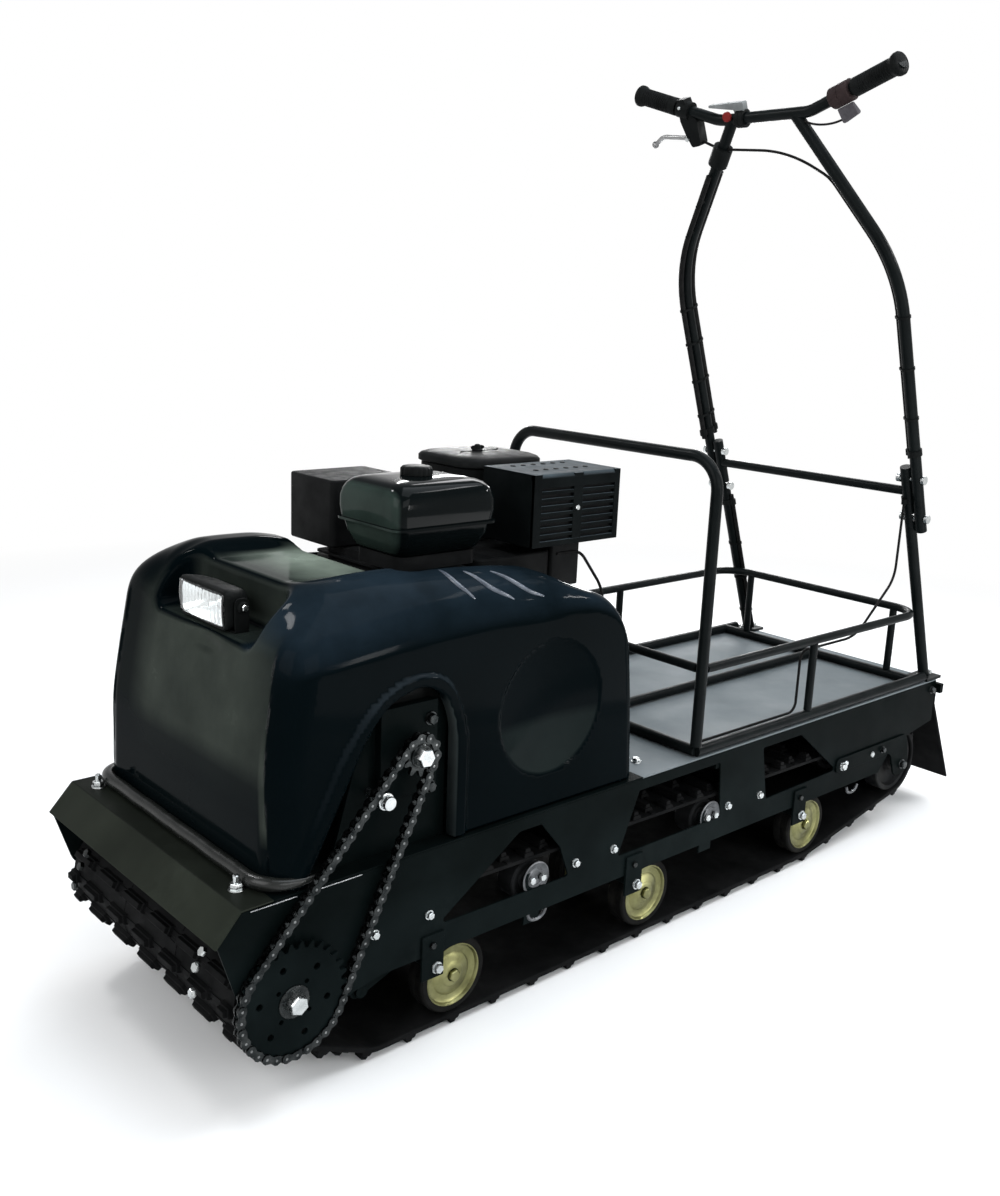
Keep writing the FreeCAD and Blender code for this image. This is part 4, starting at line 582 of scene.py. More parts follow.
def crest_at(x, table):
    """A smooth curve through a table of measured heights."""
    total = 0
    for shift in (-20, -10, 0, 10, 20):
        total = total + np.interp(x + shift, table[:, 0], table[:, 1])
    return total / 5


def hood_top(x, y):
    """Height of the hood's top: a crest along each side and a lower middle."""
    crest = crest_at(x, CREST)
    middle = np.minimum(668 + 0.03 * (x - 590), crest - 4)
    crest = crest + crest_at(x, FAR_CREST) * ease(-y, 20, 120)
    share = ease(np.abs(y), 84, 138)
    return crest * share + middle * (1 - share)


def hood_solid(x, y, z):
    """About how far a point is from the hood without its openings, negative inside."""
    out = np.abs(y)
    rear = (189 + 0.085 * (z - 308)) - x
    lean = np.maximum(z - 440, 0)
    front = x - (869.5 - 0.03 * (z - 330) - 0.165 * lean * lean / (lean + 45))
    top = z - hood_top(x, y)
    side = out - 248.6 + 5 * ease(z, 420, 700)
    panel = 222 - 0.085 * (z - 390)
    front = front + 2.6 * (1 - ease(out, panel - 2.5, panel + 2.5)) * (1 - ease(z, 590, 640))
    high = ease(z, 430, 640)
    round_side = 24 + high * (6 + 48 * ease(x, 290, 430) + 28 * ease(x, 420, 800) * (1 - 0.6 * ease(-y, 0, 100)))
    nearer = ease(side - top, -60, 40)
    round_front = (60 + 30 * ease(out, 80, 145)) * (1 - nearer) + 44 * nearer
    whole = both(both(both(rear, top, 34.0), side, round_side), front, round_front)
    lip = np.abs(arch_field(x, z) - 13.0) - 8.0
    ridge = np.where(y > 180, 1.0, 0.0) * 6.0 * (1 - ease(lip, 0, 9.0)) * (1 - ease(z, 560, 640))
    whole = whole - ridge * ease(y, 180, 235)
    dish = np.sqrt((x - 388) ** 2 + (z - 466) ** 2)
    whole = whole + np.where(y > 150, 10.0 * np.maximum(1 - (dish / 106) ** 2, 0) * (1 - ease(dish, 100, 108))
                             + 1.6 * (1 - ease(dish, 101, 107)), 0)
    scoop = ((y - 25) / 62) ** 2 + ((z - 586) / 17) ** 2
    whole = whole + np.where(x > 700, 8.0 * np.exp(-1.6 * scoop), 0)
    return whole


def hood_shell(x, y, z):
    """Distances, negative inside: from the hood with its openings, from it without them, and from the niche."""
    skin = hood_solid(x, y, z)
    niche = both(both(764 - x, np.abs(y - 7) - 135, 38.0), 604 - z, 18.0)
    shell = both(skin, -niche, 12.0)
    opening = both(both(np.maximum(220 - x, x - 604), np.maximum(-228 - y, y - 160), 24.0), 540 - z, 10.0)
    shell = both(shell, -opening, 8.0)
    arch = np.where(y > 100, arch_field(x, z), 100.0)
    shell = both(shell, -arch, 4.0)
    return np.maximum(shell, HOOD_FOOT_Z - z), skin, niche


def surface_net(field, low, high, step):
    """Quads on the field's zero level, moved onto it along the field's slopes."""
    F = field(*np.meshgrid(*(np.arange(a, b + step, step) for a, b in zip(low, high)), indexing="ij"))
    inside = F < 0
    count = tuple(n - 1 for n in F.shape)
    corners = [inside[tuple(slice(d, d + n) for d, n in zip(shift, count))] for shift in np.ndindex(2, 2, 2)]
    cells = np.argwhere(np.any(corners, 0) & ~np.all(corners, 0))
    index = -np.ones(count, int)
    index[tuple(cells.T)] = np.arange(len(cells))
    total, hits, faces = np.zeros((len(cells), 3)), np.zeros(len(cells)), []
    for axis in range(3):
        unit, u, v = np.roll(np.eye(3, dtype=int), -axis, axis=0)
        for p, q in np.ndindex(2, 2):
            start = cells + p * u + q * v
            f0, f1 = F[tuple(start.T)], F[tuple((start + unit).T)]
            cross = (f0 < 0) != (f1 < 0)
            place = start + np.where(cross, f0 / np.where(cross, f0 - f1, 1), 0)[:, None] * unit
            total += np.where(cross[:, None], place, 0)
            hits += cross
        edges = np.argwhere(np.diff(inside, axis=axis))
        free = unit > 0
        edges = edges[(((edges > 0) & (edges < count)) | free).all(1)]
        quad = np.stack([index[tuple((edges - du * u - dv * v).T)] for du, dv in ((0, 0), (1, 0), (1, 1), (0, 1))], 1)
        out = inside[tuple(edges.T)]
        quad[~out] = quad[~out][:, ::-1]
        faces.append(quad)
    points = np.asarray(low) + total / hits[:, None] * step
    for _ in range(3):
        value, slope = slopes(field, points)
        move = -value[:, None] * slope / np.maximum((slope ** 2).sum(1), 0.2)[:, None]
        points += np.clip(move, -step * 0.4, step * 0.4)
    return points, np.concatenate(faces)


def slopes(field, points):
    """The field at each point and how it changes along x, y and z."""
    value, slope = field(*points.T), np.zeros_like(points)
    for axis in range(3):
        shift = np.zeros(3)
        shift[axis] = 0.4
        slope[:, axis] = (field(*(points + shift).T) - field(*(points - shift).T)) / 0.8
    return value, slope


def make_hood():
    """The skin as one sheet, without the walls that no one sees, then given its thickness inwards."""
    def field(x, y, z):
        return hood_shell(x, y, z)[0]

    points, faces = surface_net(field, *HOOD_BOX, HOOD_STEP)
    _, skin, niche = hood_shell(*points.T)
    inside = (skin < UNSEEN_DEPTH) & (np.abs(niche) > 3)
    faces = faces[~inside[faces].all(1) & ~(points[:, 2] < HOOD_FOOT_Z + 0.8)[faces].all(1)]
    used = np.unique(faces)
    renumber = -np.ones(len(points), int)
    renumber[used] = np.arange(len(used))
    points, faces = points[used], renumber[faces]
    _, normal = slopes(field, points)
    normal /= np.maximum(np.linalg.norm(normal, axis=1), 1e-6)[:, None]
    edges = {(a, b): True for quad in faces.tolist() for a, b in zip(quad, quad[1:] + quad[:1])}
    n = len(points)
    loops = faces.tolist() + (faces[:, ::-1] + n).tolist()
    loops += [[b, a, a + n, b + n] for a, b in edges if (b, a) not in edges]
    mesh = bpy.data.meshes.new("hood_shell")
    mesh.from_pydata((np.concatenate([points, points - normal * SHELL_THICK]) * MM).tolist(), [], loops)
    finish_piece("hood_shell", mesh, "hood", sharp=80.0, replaces=("hood",), slot="hood_plastic")
    mesh.normals_split_custom_set_from_vertices(np.concatenate([normal, -normal]).tolist())


def make_arch_shield():
    """A dark sheet inside the hood that closes the gap over the chain plate."""
    outline = [(572, 492), (572, 548), (612, 562), (690, 556), (742, 516), (700, 492)]
    add("arch_shield", [slab(outline, 221.0, 224.0)], "plastic")


LOUVRES = ([(552, 172), (547, 207), (531, 227)], [(517, 183), (497, 216), (461, 232)],
           [(471, 189), (429, 224), (402, 232)])


def make_louvres():
    """Slim raised ribs that follow the near shoulder: x and y are given, z is found on the skin."""
    parts = []
    for line in LOUVRES:
        path = []
        for x, y, _ in smooth_line([(x, y, 0) for x, y in line], 17):
            low, high = 560.0, 720.0
            for _ in range(24):
                middle = (low + high) / 2
                inside = hood_solid(np.array(x), np.array(y), np.array(middle)) < 0
                low, high = (middle, high) if inside else (low, middle)
            path.append((x, y, low - 0.6))
        parts.append(sweep(path, 4.0 * np.sin(math.pi * np.linspace(0.05, 0.95, len(path))) ** 0.6))
    add("hood_louvres", parts, "louvre")


# ---------- track
class Loop:
    """A closed belt round circles (x, z, radius): place(distance along, inwards, y) gives points."""

    def __init__(self, circles, spacing):
        angles = np.radians(np.arange(0, 360, 0.5))
        normals = np.stack([np.cos(angles), np.sin(angles)], 1)
        circles = np.array(circles, float)
        active = (normals @ circles[:, :2].T + circles[:, 2]).argmax(1)
        points = circles[active, :2] + normals * circles[active, 2:]
        self.points, self.normals = (np.vstack([rows, rows[:1]]) for rows in (points, normals))
        self.long = np.concatenate([[0], np.cumsum(np.linalg.norm(np.diff(self.points, axis=0), axis=1))])
        self.count = int(round(self.long[-1] / spacing))
        self.pitch = self.long[-1] / self.count

    def place(self, s, inwards, y):
        s = np.mod(s, self.long[-1])
        x, z = (np.interp(s, self.long, self.points[:, i]) for i in (0, 1))
        out = np.array([np.interp(s, self.long, self.normals[:, i]) for i in (0, 1)])
        out = out / np.linalg.norm(out)
        return np.array([x - out[0] * inwards, y, z - out[1] * inwards])

    def pad(self, middle, half, low, high, inwards):
        """The corners of a pad across the belt, from y = low to high."""
        return [self.place(middle + side * half, inwards, y)
                for side, y in ((-1, low), (1, low), (1, high), (-1, high))]


def make_track():
    loop = Loop([(*DRIVE, 88), (*IDLER, 85), (WHEELS[2], WHEEL_Z, WHEEL_Z), (690, WHEEL_Z, WHEEL_Z)], LUG_PITCH)
    edge = [(-245, 13), (-245, 18.5), (-243, 20), (-120, 20), (0, 20), (120, 20), (243, 20), (245, 18.5), (245, 13),
            (120, 12.4), (0, 12.4), (-120, 12.4)]
    steps = loop.count * 4
    rows = [[loop.place(loop.long[-1] * k / steps, deep, y) for y, deep in edge] for k in range(steps)]
    add("track_belt", [grid(rows, close_rows=True)], "rib_rubber", replaces=("track",))
    lugs, clips = [], []
    for k in range(loop.count):
        middle = loop.pitch * k
        if k % 2:
            spans = [(y - 29, y + 29) for y in (-205, -123, -41, 41, 123, 205)]
        else:
            spans = [(-244.5, -220)] + [(y - 25, y + 25) for y in (-164, -82, 0, 82, 164)] + [(220, 244.5)]
        for low, high in spans:
            lugs.append(capped([loop.pad(middle, half, low + inset, high - inset, deep) for deep, half, inset in
                                ((13.4, 10.5, 0), (6.5, 8.0, 1.5), (6.2, 6.2, 3.0), (0.4, 4.4, 4.0))]))
        lugs.append(capped([loop.pad(middle, 5, -244, 244, deep) for deep in (13.2, 11.2)]))
        clips += [capped([loop.pad(loop.pitch * (k + 0.5), 9, y - 11, y + 11, deep) for deep in (11.6, 12.6)])
                  for y in (-78, 78)]
    add("track_lugs", lugs, "rib_rubber", bevel=0.8, segments=1)
    add("track_clips", clips, "rib_rubber")


# ---------- chain drive
def make_chain():
    loop = Loop([BIG, SMALL], CHAIN_PITCH)
    count = loop.count + loop.count % 2
    links, pins = [], []
    centres = [loop.place(loop.long[-1] * k / count, 0, CHAIN_Y) for k in range(count)]
    for k, a in enumerate(centres):
        b = centres[(k + 1) % count]
        ahead = (b - a) / np.linalg.norm(b - a)
        side = np.array([-ahead[2], 0, ahead[0]])
        ends = [point + 6.9 * circle(np.radians(start + np.arange(0, 181, 36)), ahead, side)
                for point, start in ((a, 90), (b, -90))]
        waist = [[(a + b) / 2 + side * reach] for reach in (-4.4, 4.4)]
        outline = np.concatenate([ends[0], waist[0], ends[1], waist[1]])
        near, far = (2.9, 4.3) if k % 2 else (4.5, 5.9)
        for sign in SIDES:
            links.append(capped([outline + (0, sign * y, 0) for y in (near, far)]))
        links.append(lathe([(-2.8, 0.1), (-2.8, 5.0), (2.8, 5.0), (2.8, 0.1)], a, LEFT, 12))
        pins.append(lathe([(-6.0, 0.1), (-6.0, 1.8), (-5.5, 2.4), (5.5, 2.4), (6.0, 1.8), (6.0, 0.1)], a, LEFT, 10))
    add("roller_chain", links, "chain", replaces=("drive_chain",))
    add("chain_pins", pins, "pin")


def gear(x, z, teeth, shape, low, high):
    """A toothed wheel: shape is (share of a tooth, radius) pairs."""
    steps = [(2 * math.pi * (k + share) / teeth, size) for k in range(teeth) for share, size in shape]
    return slab([(x + size * math.cos(a), z + size * math.sin(a)) for a, size in steps], low, high)


def chain_wheel(pitch_circle, teeth, tip):
    x, z, radius = pitch_circle
    shape = ((0.0, radius - 5.2), (0.16, radius - 4.6), (0.36, radius + tip - 1.6), (0.44, radius + tip),
             (0.56, radius + tip), (0.64, radius + tip - 1.6), (0.84, radius - 4.6))
    return gear(x, z, teeth, shape, CHAIN_Y - 2.7, CHAIN_Y + 2.7)


def with_holes(item, cutters):
    """Cuts closed parts out of a piece."""
    tool = bpy.data.objects.new("cutter", mesh_of("cutter", cutters))
    bpy.context.scene.collection.objects.link(tool)
    step = item.modifiers.new("holes", "BOOLEAN")
    step.operation, step.object, step.solver = "DIFFERENCE", tool, "EXACT"
    bpy.context.view_layer.update()
    graph = bpy.context.evaluated_depsgraph_get()
    shown = bpy.data.meshes.new_from_object(item.evaluated_get(graph))
    item.modifiers.clear()
    item.data = shown
    bpy.data.objects.remove(tool)
    shown.set_sharp_from_angle(angle=math.radians(35))


def make_sprockets():
    big = add("big_sprocket", [chain_wheel(BIG, 31, 4.6)], "paint", slot="chain_steel", replaces=("chain_sprockets",))
    with_holes(big, [lathe([(-8, 1e-3), (-8, size), (8, size), (8, 1e-3)],
                           (DRIVE[0] + reach * math.cos(a), CHAIN_Y, DRIVE[1] + reach * math.sin(a)), LEFT, 16)
                     for reach, size, angles in ((52, 5.0, np.arange(12, 372, 60)), (30, 3.5, np.arange(40, 400, 90)))
                     for a in np.radians(angles)])
    parts = [chain_wheel(SMALL, 10, 4.0)]
    for (x, z), size in ((DRIVE, 23), (JACK, 17)):
        parts.append(knob([(-3, size), (4, size), (5.2, size - 1.4)], (x, CHAIN_Y, z), LEFT, 32))
    add("sprocket_hubs", parts, "chain")
    nuts = []
    for x, y, z, size in ((850, 271.2, 163, 25), (651, 271.2, 456, 24), (709, 270.4, 405, 17)):
        nuts += bolt((x, y, z), LEFT, size, washer=False)
    nuts.append(lathe([(258, 7), (258, 10), (259, 12), (270, 12), (271, 10), (271, 7)], (709, 0, 405), LEFT, 28))
    add("drive_nuts", nuts, "zinc")


# ---------- wheels
ROWS = ((240, 1), (94, 1), (-94, -1), (-240, -1))  # outer face of each row of wheels, and the way it looks
DISC = [(-34, 10.2), (-34, 16), (-31, 17), (-29, 40), (-34, 44), (-34, 49), (0, 49), (0, 47.6), (-1.6, 46.4),
        (-4.5, 45.2), (-6.2, 42), (-6.4, 34), (-3.6, 30), (-3.2, 22), (-1.4, 19), (-0.2, 17), (-0.2, 10.2)]
TYRE = [(-34, 49.3), (-34, 57), (-31.5, 59.6), (-27, 60), (-19, 59.7), (-17, 58.6), (-15, 59.7), (-7, 60),
        (-2.5, 59.6), (0, 57), (0, 51.5), (-0.6, 49.3)]
ROLLER = [(-34, 10.2), (-34, 31.5), (-32, 33), (-2, 33), (0, 31.5), (0, 27), (-3.5, 25), (-4, 17), (-1, 15),
          (-1, 10.2)]
NOSE_ROLLER = [(-34, 10.2), (-34, 58), (-32, 60), (-2, 60), (0, 58), (0, 48), (-6, 45), (-6, 20), (0, 17), (0, 10.2)]
IDLER_ROLLER = [(-34, 10.2), (-34, 62), (-32, 64), (-2, 64), (0, 62), (0, 54), (-9, 51), (-9, 24), (-1, 20),
                (-1, 10.2)]


def wheels(profile, places, rows, sides):
    """The same turned wheel at each place (x, z) and row."""
    return [lathe(profile, (x, face, z), (0, side, 0), sides) for x, z in places for face, side in rows]


def make_wheels():
    road = [(x, WHEEL_Z) for x in WHEELS]
    discs = wheels(DISC, road, ROWS, 56)
    discs += [hexagon((x, face - side * 0.8, z), (0, side, 0), 17, 7, 12)
              for x, z in road for face, side in (ROWS[0], ROWS[3])]
    add("gold_wheels", discs, "gold", replaces=("road_wheels",))
    add("rubber_tyres", wheels(TYRE, road, ROWS, 56), "tyre", replaces=("wheel_tyres",))
    rollers = wheels(ROLLER, ((414, 190.7), (-5, 184.2)), (ROWS[0], ROWS[3]), 40)
    rollers += wheels(NOSE_ROLLER, ((690, WHEEL_Z),), ROWS[1:3], 48)
    add("plain_rolls", rollers, "roller", replaces=("plain_rollers",))
    add("idler_rolls", wheels(IDLER_ROLLER, (IDLER,), ROWS, 56), "roller", replaces=("idler_wheels",))
    cog = ((0.0, 51), (0.2, 52), (0.34, 66), (0.66, 66), (0.8, 52))
    add("drive_cogs", [gear(*DRIVE, 9, cog, low, low + 30) for low in (95, -125)], "roller",
        replaces=("track_sprockets",), bevel=1.5)


# ---------- bolts on the frame
def make_bolts(nuts):
    """Adds to the bright bolts given; every bolt takes the next random turn."""
    dark = []
    plates = ((620, 206), (715, 207.5), (754, 158), (327, 200), (240, 199), (-56, 198), (-150, 195), (-427, 193.5),
              (-522, 191))
    groups = [[(nuts, x, 256.2, z, 10.5, True)] for x, z in plates]
    groups += [[(nuts, x - 7, 260.2, 120, 13, True), (dark, x + 2, 260.2, 158, 9, False)] for x in (613, 188, -281)]
    groups += [[(nuts, x + shift, 254.8, z, 11, False) for shift in (-11, 11)] for x, z in ROLLER_BOLTS]
    groups += [[(dark, -645, 260.4, 142, 15, True)], [(dark, -560, 260.4, 193, 10, True)],
               [(nuts, -415, 260.4, 190, 12, True)]]
    for group in groups:
        for sign in SIDES:
            for heap, x, y, z, size, washer in group:
                heap += bolt((x, sign * y, z), (0, sign, 0), size, washer)
    for y in (203, -212):
        nuts += bolt((895, y, 309.4), UP, 15, stud=11)
    for y in (203, -203, 60, -60):
        nuts += bolt((137.5, y, 308.2), UP, 12)
    for z in (495, 396):
        dark += bolt((616, 242.4, z), LEFT, 14)
    nuts += bolt((566, 249.0, 352), LEFT, 11, washer=False)
    for x, z in ((832, 196), (868, 196), (832, 130), (868, 130)):
        nuts += bolt((x, -253.4, z), (0, -1, 0), 11)
    for sign in SIDES:
        dark += bolt((-740, sign * 256.2, 287), (0, sign, 0), 12)
    for x, y in ((-767, 232), (-723, 232), (-767, -232), (-723, -232)):
        nuts += bolt((x, y, 314.2), UP, 9)
    for y in (-210, -110, 110, 210):
        nuts += bolt((-766.5, y, 289), (-1, 0, 0), 11)
    for angle, y in ((36, 178), (24, 179), (5, 184)):
        out = np.array([math.cos(math.radians(angle)), 0, math.sin(math.radians(angle))])
        for heap, side in ((nuts, 1), (dark, -1)):
            heap += bolt(np.array([DRIVE[0], side * y, DRIVE[1]]) + 97.5 * out, out, 12, washer=False)
    add("zinc_bolts", nuts, "zinc")
    add("dark_bolts", dark, "chain")


def make_flanges_and_hooks():
    flanges, hooks = [], []
    flange = [(0, 11), (0, 24), (1.2, 26.5), (3.4, 27), (4.2, 25), (2.4, 22.5), (2.0, 17), (3.6, 15), (3.6, 11)]
    for x, z in ROLLER_BOLTS:
        for sign in SIDES:
            flanges.append(lathe(flange, (x, sign * 250.4, z), (0, sign, 0), 36))
            flanges.append(knob([(0, 11.2), (2.6, 11.2)], (x, sign * 250.6, z), (0, sign, 0), 24))
    for x, z in ((404, 133), (-471, 126)):
        for sign in SIDES:
            path = [(x + ahead, sign * 252, z + up) for ahead, up in ((-20, 6), (-14, -3), (0, -7), (14, -2), (19, 9))]
            hooks.append(sweep(smooth_line(path, 24), 3.0, 10))
    add("roller_flanges", flanges, "dark_zinc")
    add("spring_hooks", hooks, "dark_zinc")


# ---------- engine
def ring_of(low, high, radius, z, steps=6):
    (a, b), (c, d) = low, high
    flat = rounded([(a, b), (c, b), (c, d), (a, d)], radius, steps)
    return np.column_stack([flat, np.full(len(flat), z)])


def tower(low, high, radius, levels):
    """An upright solid on a rounded rectangle."""
    return capped([ring_of(low, high, radius, z) for z in levels])


def make_tank():
    low, high = np.array([410.0, -19.5]), np.array([602.0, 140.0])
    rows = [ring_of(low + inset, high - inset, radius, z, 8) for z, inset, radius in
            ((690, 26, 20), (696, 18, 22), (716, 9, 22), (731, 6, 20), (732, 0, 19), (735.5, 0, 19), (736, 4, 18),
             (752, 2, 18), (768, 2, 19), (778, 4, 21), (786, 8, 22), (792, 14, 22), (795.5, 23, 20), (797.6, 38, 14),
             (798.4, 58, 6))]
    add("rounded_tank", [capped(rows)], "tank", replaces=("fuel_tank",), sharp=50)
    add("tank_stand", [tower(low + 24, high - 24, 14, (669, 690))], "engine")
    turn = around(72)
    cap = []
    for z, size, deep in ((797, 20, 0), (799, 23.5, 0.8), (808, 23.5, 0.8), (811, 21, 0.3), (812, 17, 0),
                          (812.4, 6, 0)):
        radius = size + deep * np.sign(np.sin(turn * 18))
        cap.append(np.column_stack([CAP_AT[0] + radius * np.cos(turn), CAP_AT[1] + radius * np.sin(turn),
                                    np.full(72, z)]))
    add("tank_cap", [capped(cap)], "plastic", replaces=("fuel_cap",), sharp=50)


def make_muffler():
    x0, x1, y0, y1, z0, z1 = 153.0, 343.0, 20.0, 140.0, 684.0, 798.0
    add("muffler_core", [block((x0 + 1.5, y0 + 1.5, z0 + 1.5), (x1 - 1.5, y1 - 7, z1 - 1.5))], "engine")
    parts = [block((x0, y1 - 6, z0), (x0 + 12, y1, z1)), block((x1 - 16, y1 - 6, z0), (x1, y1, z1)),
             block((x0 + 84, y1 - 5.8, z0 + 1), (x0 + 104, y1 - 0.4, z1 - 1)),
             block((x0, y0, z1 - 1.5), (x1, y1 - 8.8, z1)), block((x0, y0, z0), (x1, y1 - 0.2, z0 + 1.5)),
             block((x0, y0, z0), (x0 + 1.5, y1 - 0.2, z1)), block((x1 - 1.5, y0, z0), (x1, y1 - 0.2, z1)),
             block((x0, y1 - 6.2, z1 - 22), (x1, y1 - 0.1, z1 - 7)),
             block((x0, y1 - 6.2, z0), (x1, y1 - 0.1, z0 + 9))]
    edge = [(x0, y1 - 9 + 9 * math.sin(a), z1 - 9 + 9 * math.cos(a)) for a in np.linspace(0, math.pi / 2, 9)]
    edge = np.array(edge + [(x0, y1 - 9, z1 - 9)])
    parts.append(capped([edge, edge + (x1 - x0, 0, 0)]))
    for z in z0 + 14 + 11.3 * np.arange(7):
        parts.append(block((x0 + 6, y1 - 5.4, z), (x1 - 10, y1 - 0.8, z + 5.6)))
    add("muffler_cover", parts, "cover", replaces=("muffler_guard",), bevel=1.6)
    dimple = [(0, 0.1), (0, 4.5), (0.8, 4.5), (1.4, 3.2), (1.4, 0.1)]
    add("muffler_dimples", [lathe(dimple, (x0 + 40 + k * 22, y, z1), UP, 12) for k in range(6) for y in (45, 98)],
        "engine")
    add("muffler_mount", [tower((196, 8), (262, 100), 6, (604, 685))], "engine", bevel=2.0)
    return bolt((250, 139.8, 742), LEFT, 8, washer=False)


def make_air_cleaner():
    rows = [ring_of((181, -159), (344, -11), 30, z) for z in (669, 785)] + [ring_of((184, -156), (341, -14), 28, 788)]
    add("cleaner_bowl", [capped(rows)], "plastic", replaces=("air_cleaner",))
    lid = [ring_of((176 + i, -164 + i), (349 - i, -6 - i), 34, z)
           for z, i in ((787, 3), (789, 0), (797, 0), (801, 3), (804, 10), (805.5, 26), (806, 50))]
    add("cleaner_lid", [capped(lid)], "plastic", sharp=50)
    nut = [knob([(0, 9), (3, 9), (4, 6), (10, 5.4), (12, 3)], (268, -84, 805.5), UP, 20)]
    for sign in SIDES:
        wing = rounded([(268 + sign * 3, 807), (268 + sign * 12, 809), (268 + sign * 15, 813.5),
                        (268 + sign * 9, 815.5), (268 + sign * 3, 812)], 1.6, 4)
        nut.append(slab(wing, -85.6, -82.4))
    add("wing_nut", nut, "plastic", bevel=0.5)


def make_engine():
    add("starter_case", [tower((415, -205), (562, -80), 9, (668, 774))], "engine", replaces=("recoil_housing",),
        slot="black_plastic", bevel=3.5, segments=3)
    parts = [tower((252, -163), (548, 113), 24, (312, 560)), tower((258, -150), (420, 100), 18, (560, 667)),
             tower((238, -178), (562, 128), 8, (308.4, 316))]
    add("crankcase", parts, "engine", replaces=("engine_block",), bevel=4.0)
    fins = [tower((424, -150), (549, 104), 12, (z, z + 3.2)) for z in 566 + 8.6 * np.arange(11)]
    fins.append(tower((436, -138), (538, 92), 16, (560, 667)))
    add("cylinder_fins", fins, "engine")
    cover = lathe([(0, 0.1), (0, 112), (6, 110), (7.5, 92), (7.5, 40), (5, 36), (5, 0.1)], (400, 113.5, 440), LEFT, 56)
    add("side_cover", [cover], "engine")
    studs = [knob([(0, 5), (1.5, 4.4)], (400 + 66 * math.cos(a), 121.2, 440 + 66 * math.sin(a)))
             for a in np.radians(np.arange(0, 360, 30))]
    add("cover_studs", studs, "zinc")


# ---------- headlight
def face_ring(x, half, low, high, radius):
    flat = rounded([(-half, low), (half, low), (half, high), (-half, high)], radius)
    return np.column_stack([np.full(len(flat), x), flat])


def make_lens():
    """A slightly domed pane with upright ribs in front, flat behind."""
    across, front, back = np.linspace(-1, 1, 41), [], []
    for v in np.linspace(-1, 1, 17):
        front.append([(829.5 + 3.0 * (1 - (u * u + v * v) / 2) + 0.5 * abs(math.sin(u * 20)), u * 60.5,
                       BULB_Z + v * 22.7) for u in across])
        back.append([(826.5, u * 60.5, BULB_Z + v * 22.7) for u in across])
    sheets = [front, [row[::-1] for row in back], [front[0], back[0]], [back[-1], front[-1]],
              [[row[0] for row in back], [row[0] for row in front]],
              [[row[-1] for row in front], [row[-1] for row in back]]]
    lens = add("lamp_lens", [grid(sheet, close_columns=False) for sheet in sheets], "glass",
               replaces=("headlight_lens",), sharp=60)
    reworked(lens.data, 0.0001)


def make_headlight():
    add("headlight_ear", bolt((799, -66.5, 634), (0, -1, 0), 11, stud=4), "dull_zinc")
    case = [(778, 34, 622, 650, 10), (786, 46, 614, 656, 12), (802, 60, 609, 661, 12), (820, 66, 607, 663, 12),
            (826, 66, 607, 663, 12), (828, 64.5, 608.5, 661.5, 11), (828, 60, 612, 658, 9), (822, 59, 613, 657, 9)]
    bowl = [(824, 60, 612.5, 657.5, 9), (814, 50, 617, 653, 12), (804, 34, 623, 647, 12), (797, 14, 629, 641, 5),
            (796.5, 3, 633.5, 636.5, 1)]
    add("lamp_case", [grid([face_ring(*row) for row in case])], "plastic", replaces=("headlight",), sharp=40)
    add("lamp_bowl", [grid([face_ring(*row) for row in bowl])], "mirror", sharp=60)
    add("lamp_bulb", [lathe([(0, 0.1), (0, 5), (14, 5), (18, 3), (19, 0.1)], (798, 0, BULB_Z), FORWARD, 20)],
        "mirror")
    make_lens()
    bracket, screws = [block((795, -69, 604.4), (817, 69, 606.6))], []
    cheek = rounded([(795, 604), (817, 604), (817, 652), (795, 652)], 8)
    for sign in SIDES:
        bracket.append(knob([(0, 8), (9, 8), (11, 6.5)], (806, sign * 64, 640), (0, sign, 0), 20))
        bracket.append(slab(cheek, sign * 68 - 1.4, sign * 68 + 1.4))
        screws += bolt((806, sign * 75.5, 640), (0, sign, 0), 8, washer=False)
    add("lamp_bracket", bracket, "plastic", bevel=0.6)
    add("lamp_screws", screws, "zinc")


# ---------- handlebar
OUT_OF_LEAN = (math.cos(LEAN), 0, -math.sin(LEAN))


def bar_frame(side):
    """The outer end of the bar and the direction inwards, on one side."""
    end, kink = on_lean(side * 290.0, 1236.0), on_lean(side * 100.0, 1173.0)
    return end, (kink - end) / np.linalg.norm(kink - end)


def make_grips():
    profile = [(0.2, 0.1), (0.2, 8), (0.8, 9.5), (0.8, 14), (1.6, 18), (4, 19.8), (10, 19.8), (13.6, 18.4), (16, 16.6)]
    for s in range(19, 84, 5):
        profile += [(s, 16.3), (s + 0.8, 15.2), (s + 2.4, 15.2), (s + 3.2, 16.3)]
    profile += [(88, 16.4), (96.5, 16.4), (98, 15.4), (98, 11.4), (90, 11.4), (89, 0.1)]
    add("ribbed_grips", [lathe(profile, *bar_frame(side), 40) for side in SIDES], "soft_rubber", UPPER,
        replaces=("handlebar_grips",), sharp=50)


def lead(name, points, count, radius):
    path = smooth_line([on_lean(*point) for point in points], count)
    add(name, [sweep(path, radius, 10)], "cable", UPPER, slot="cable_jacket")


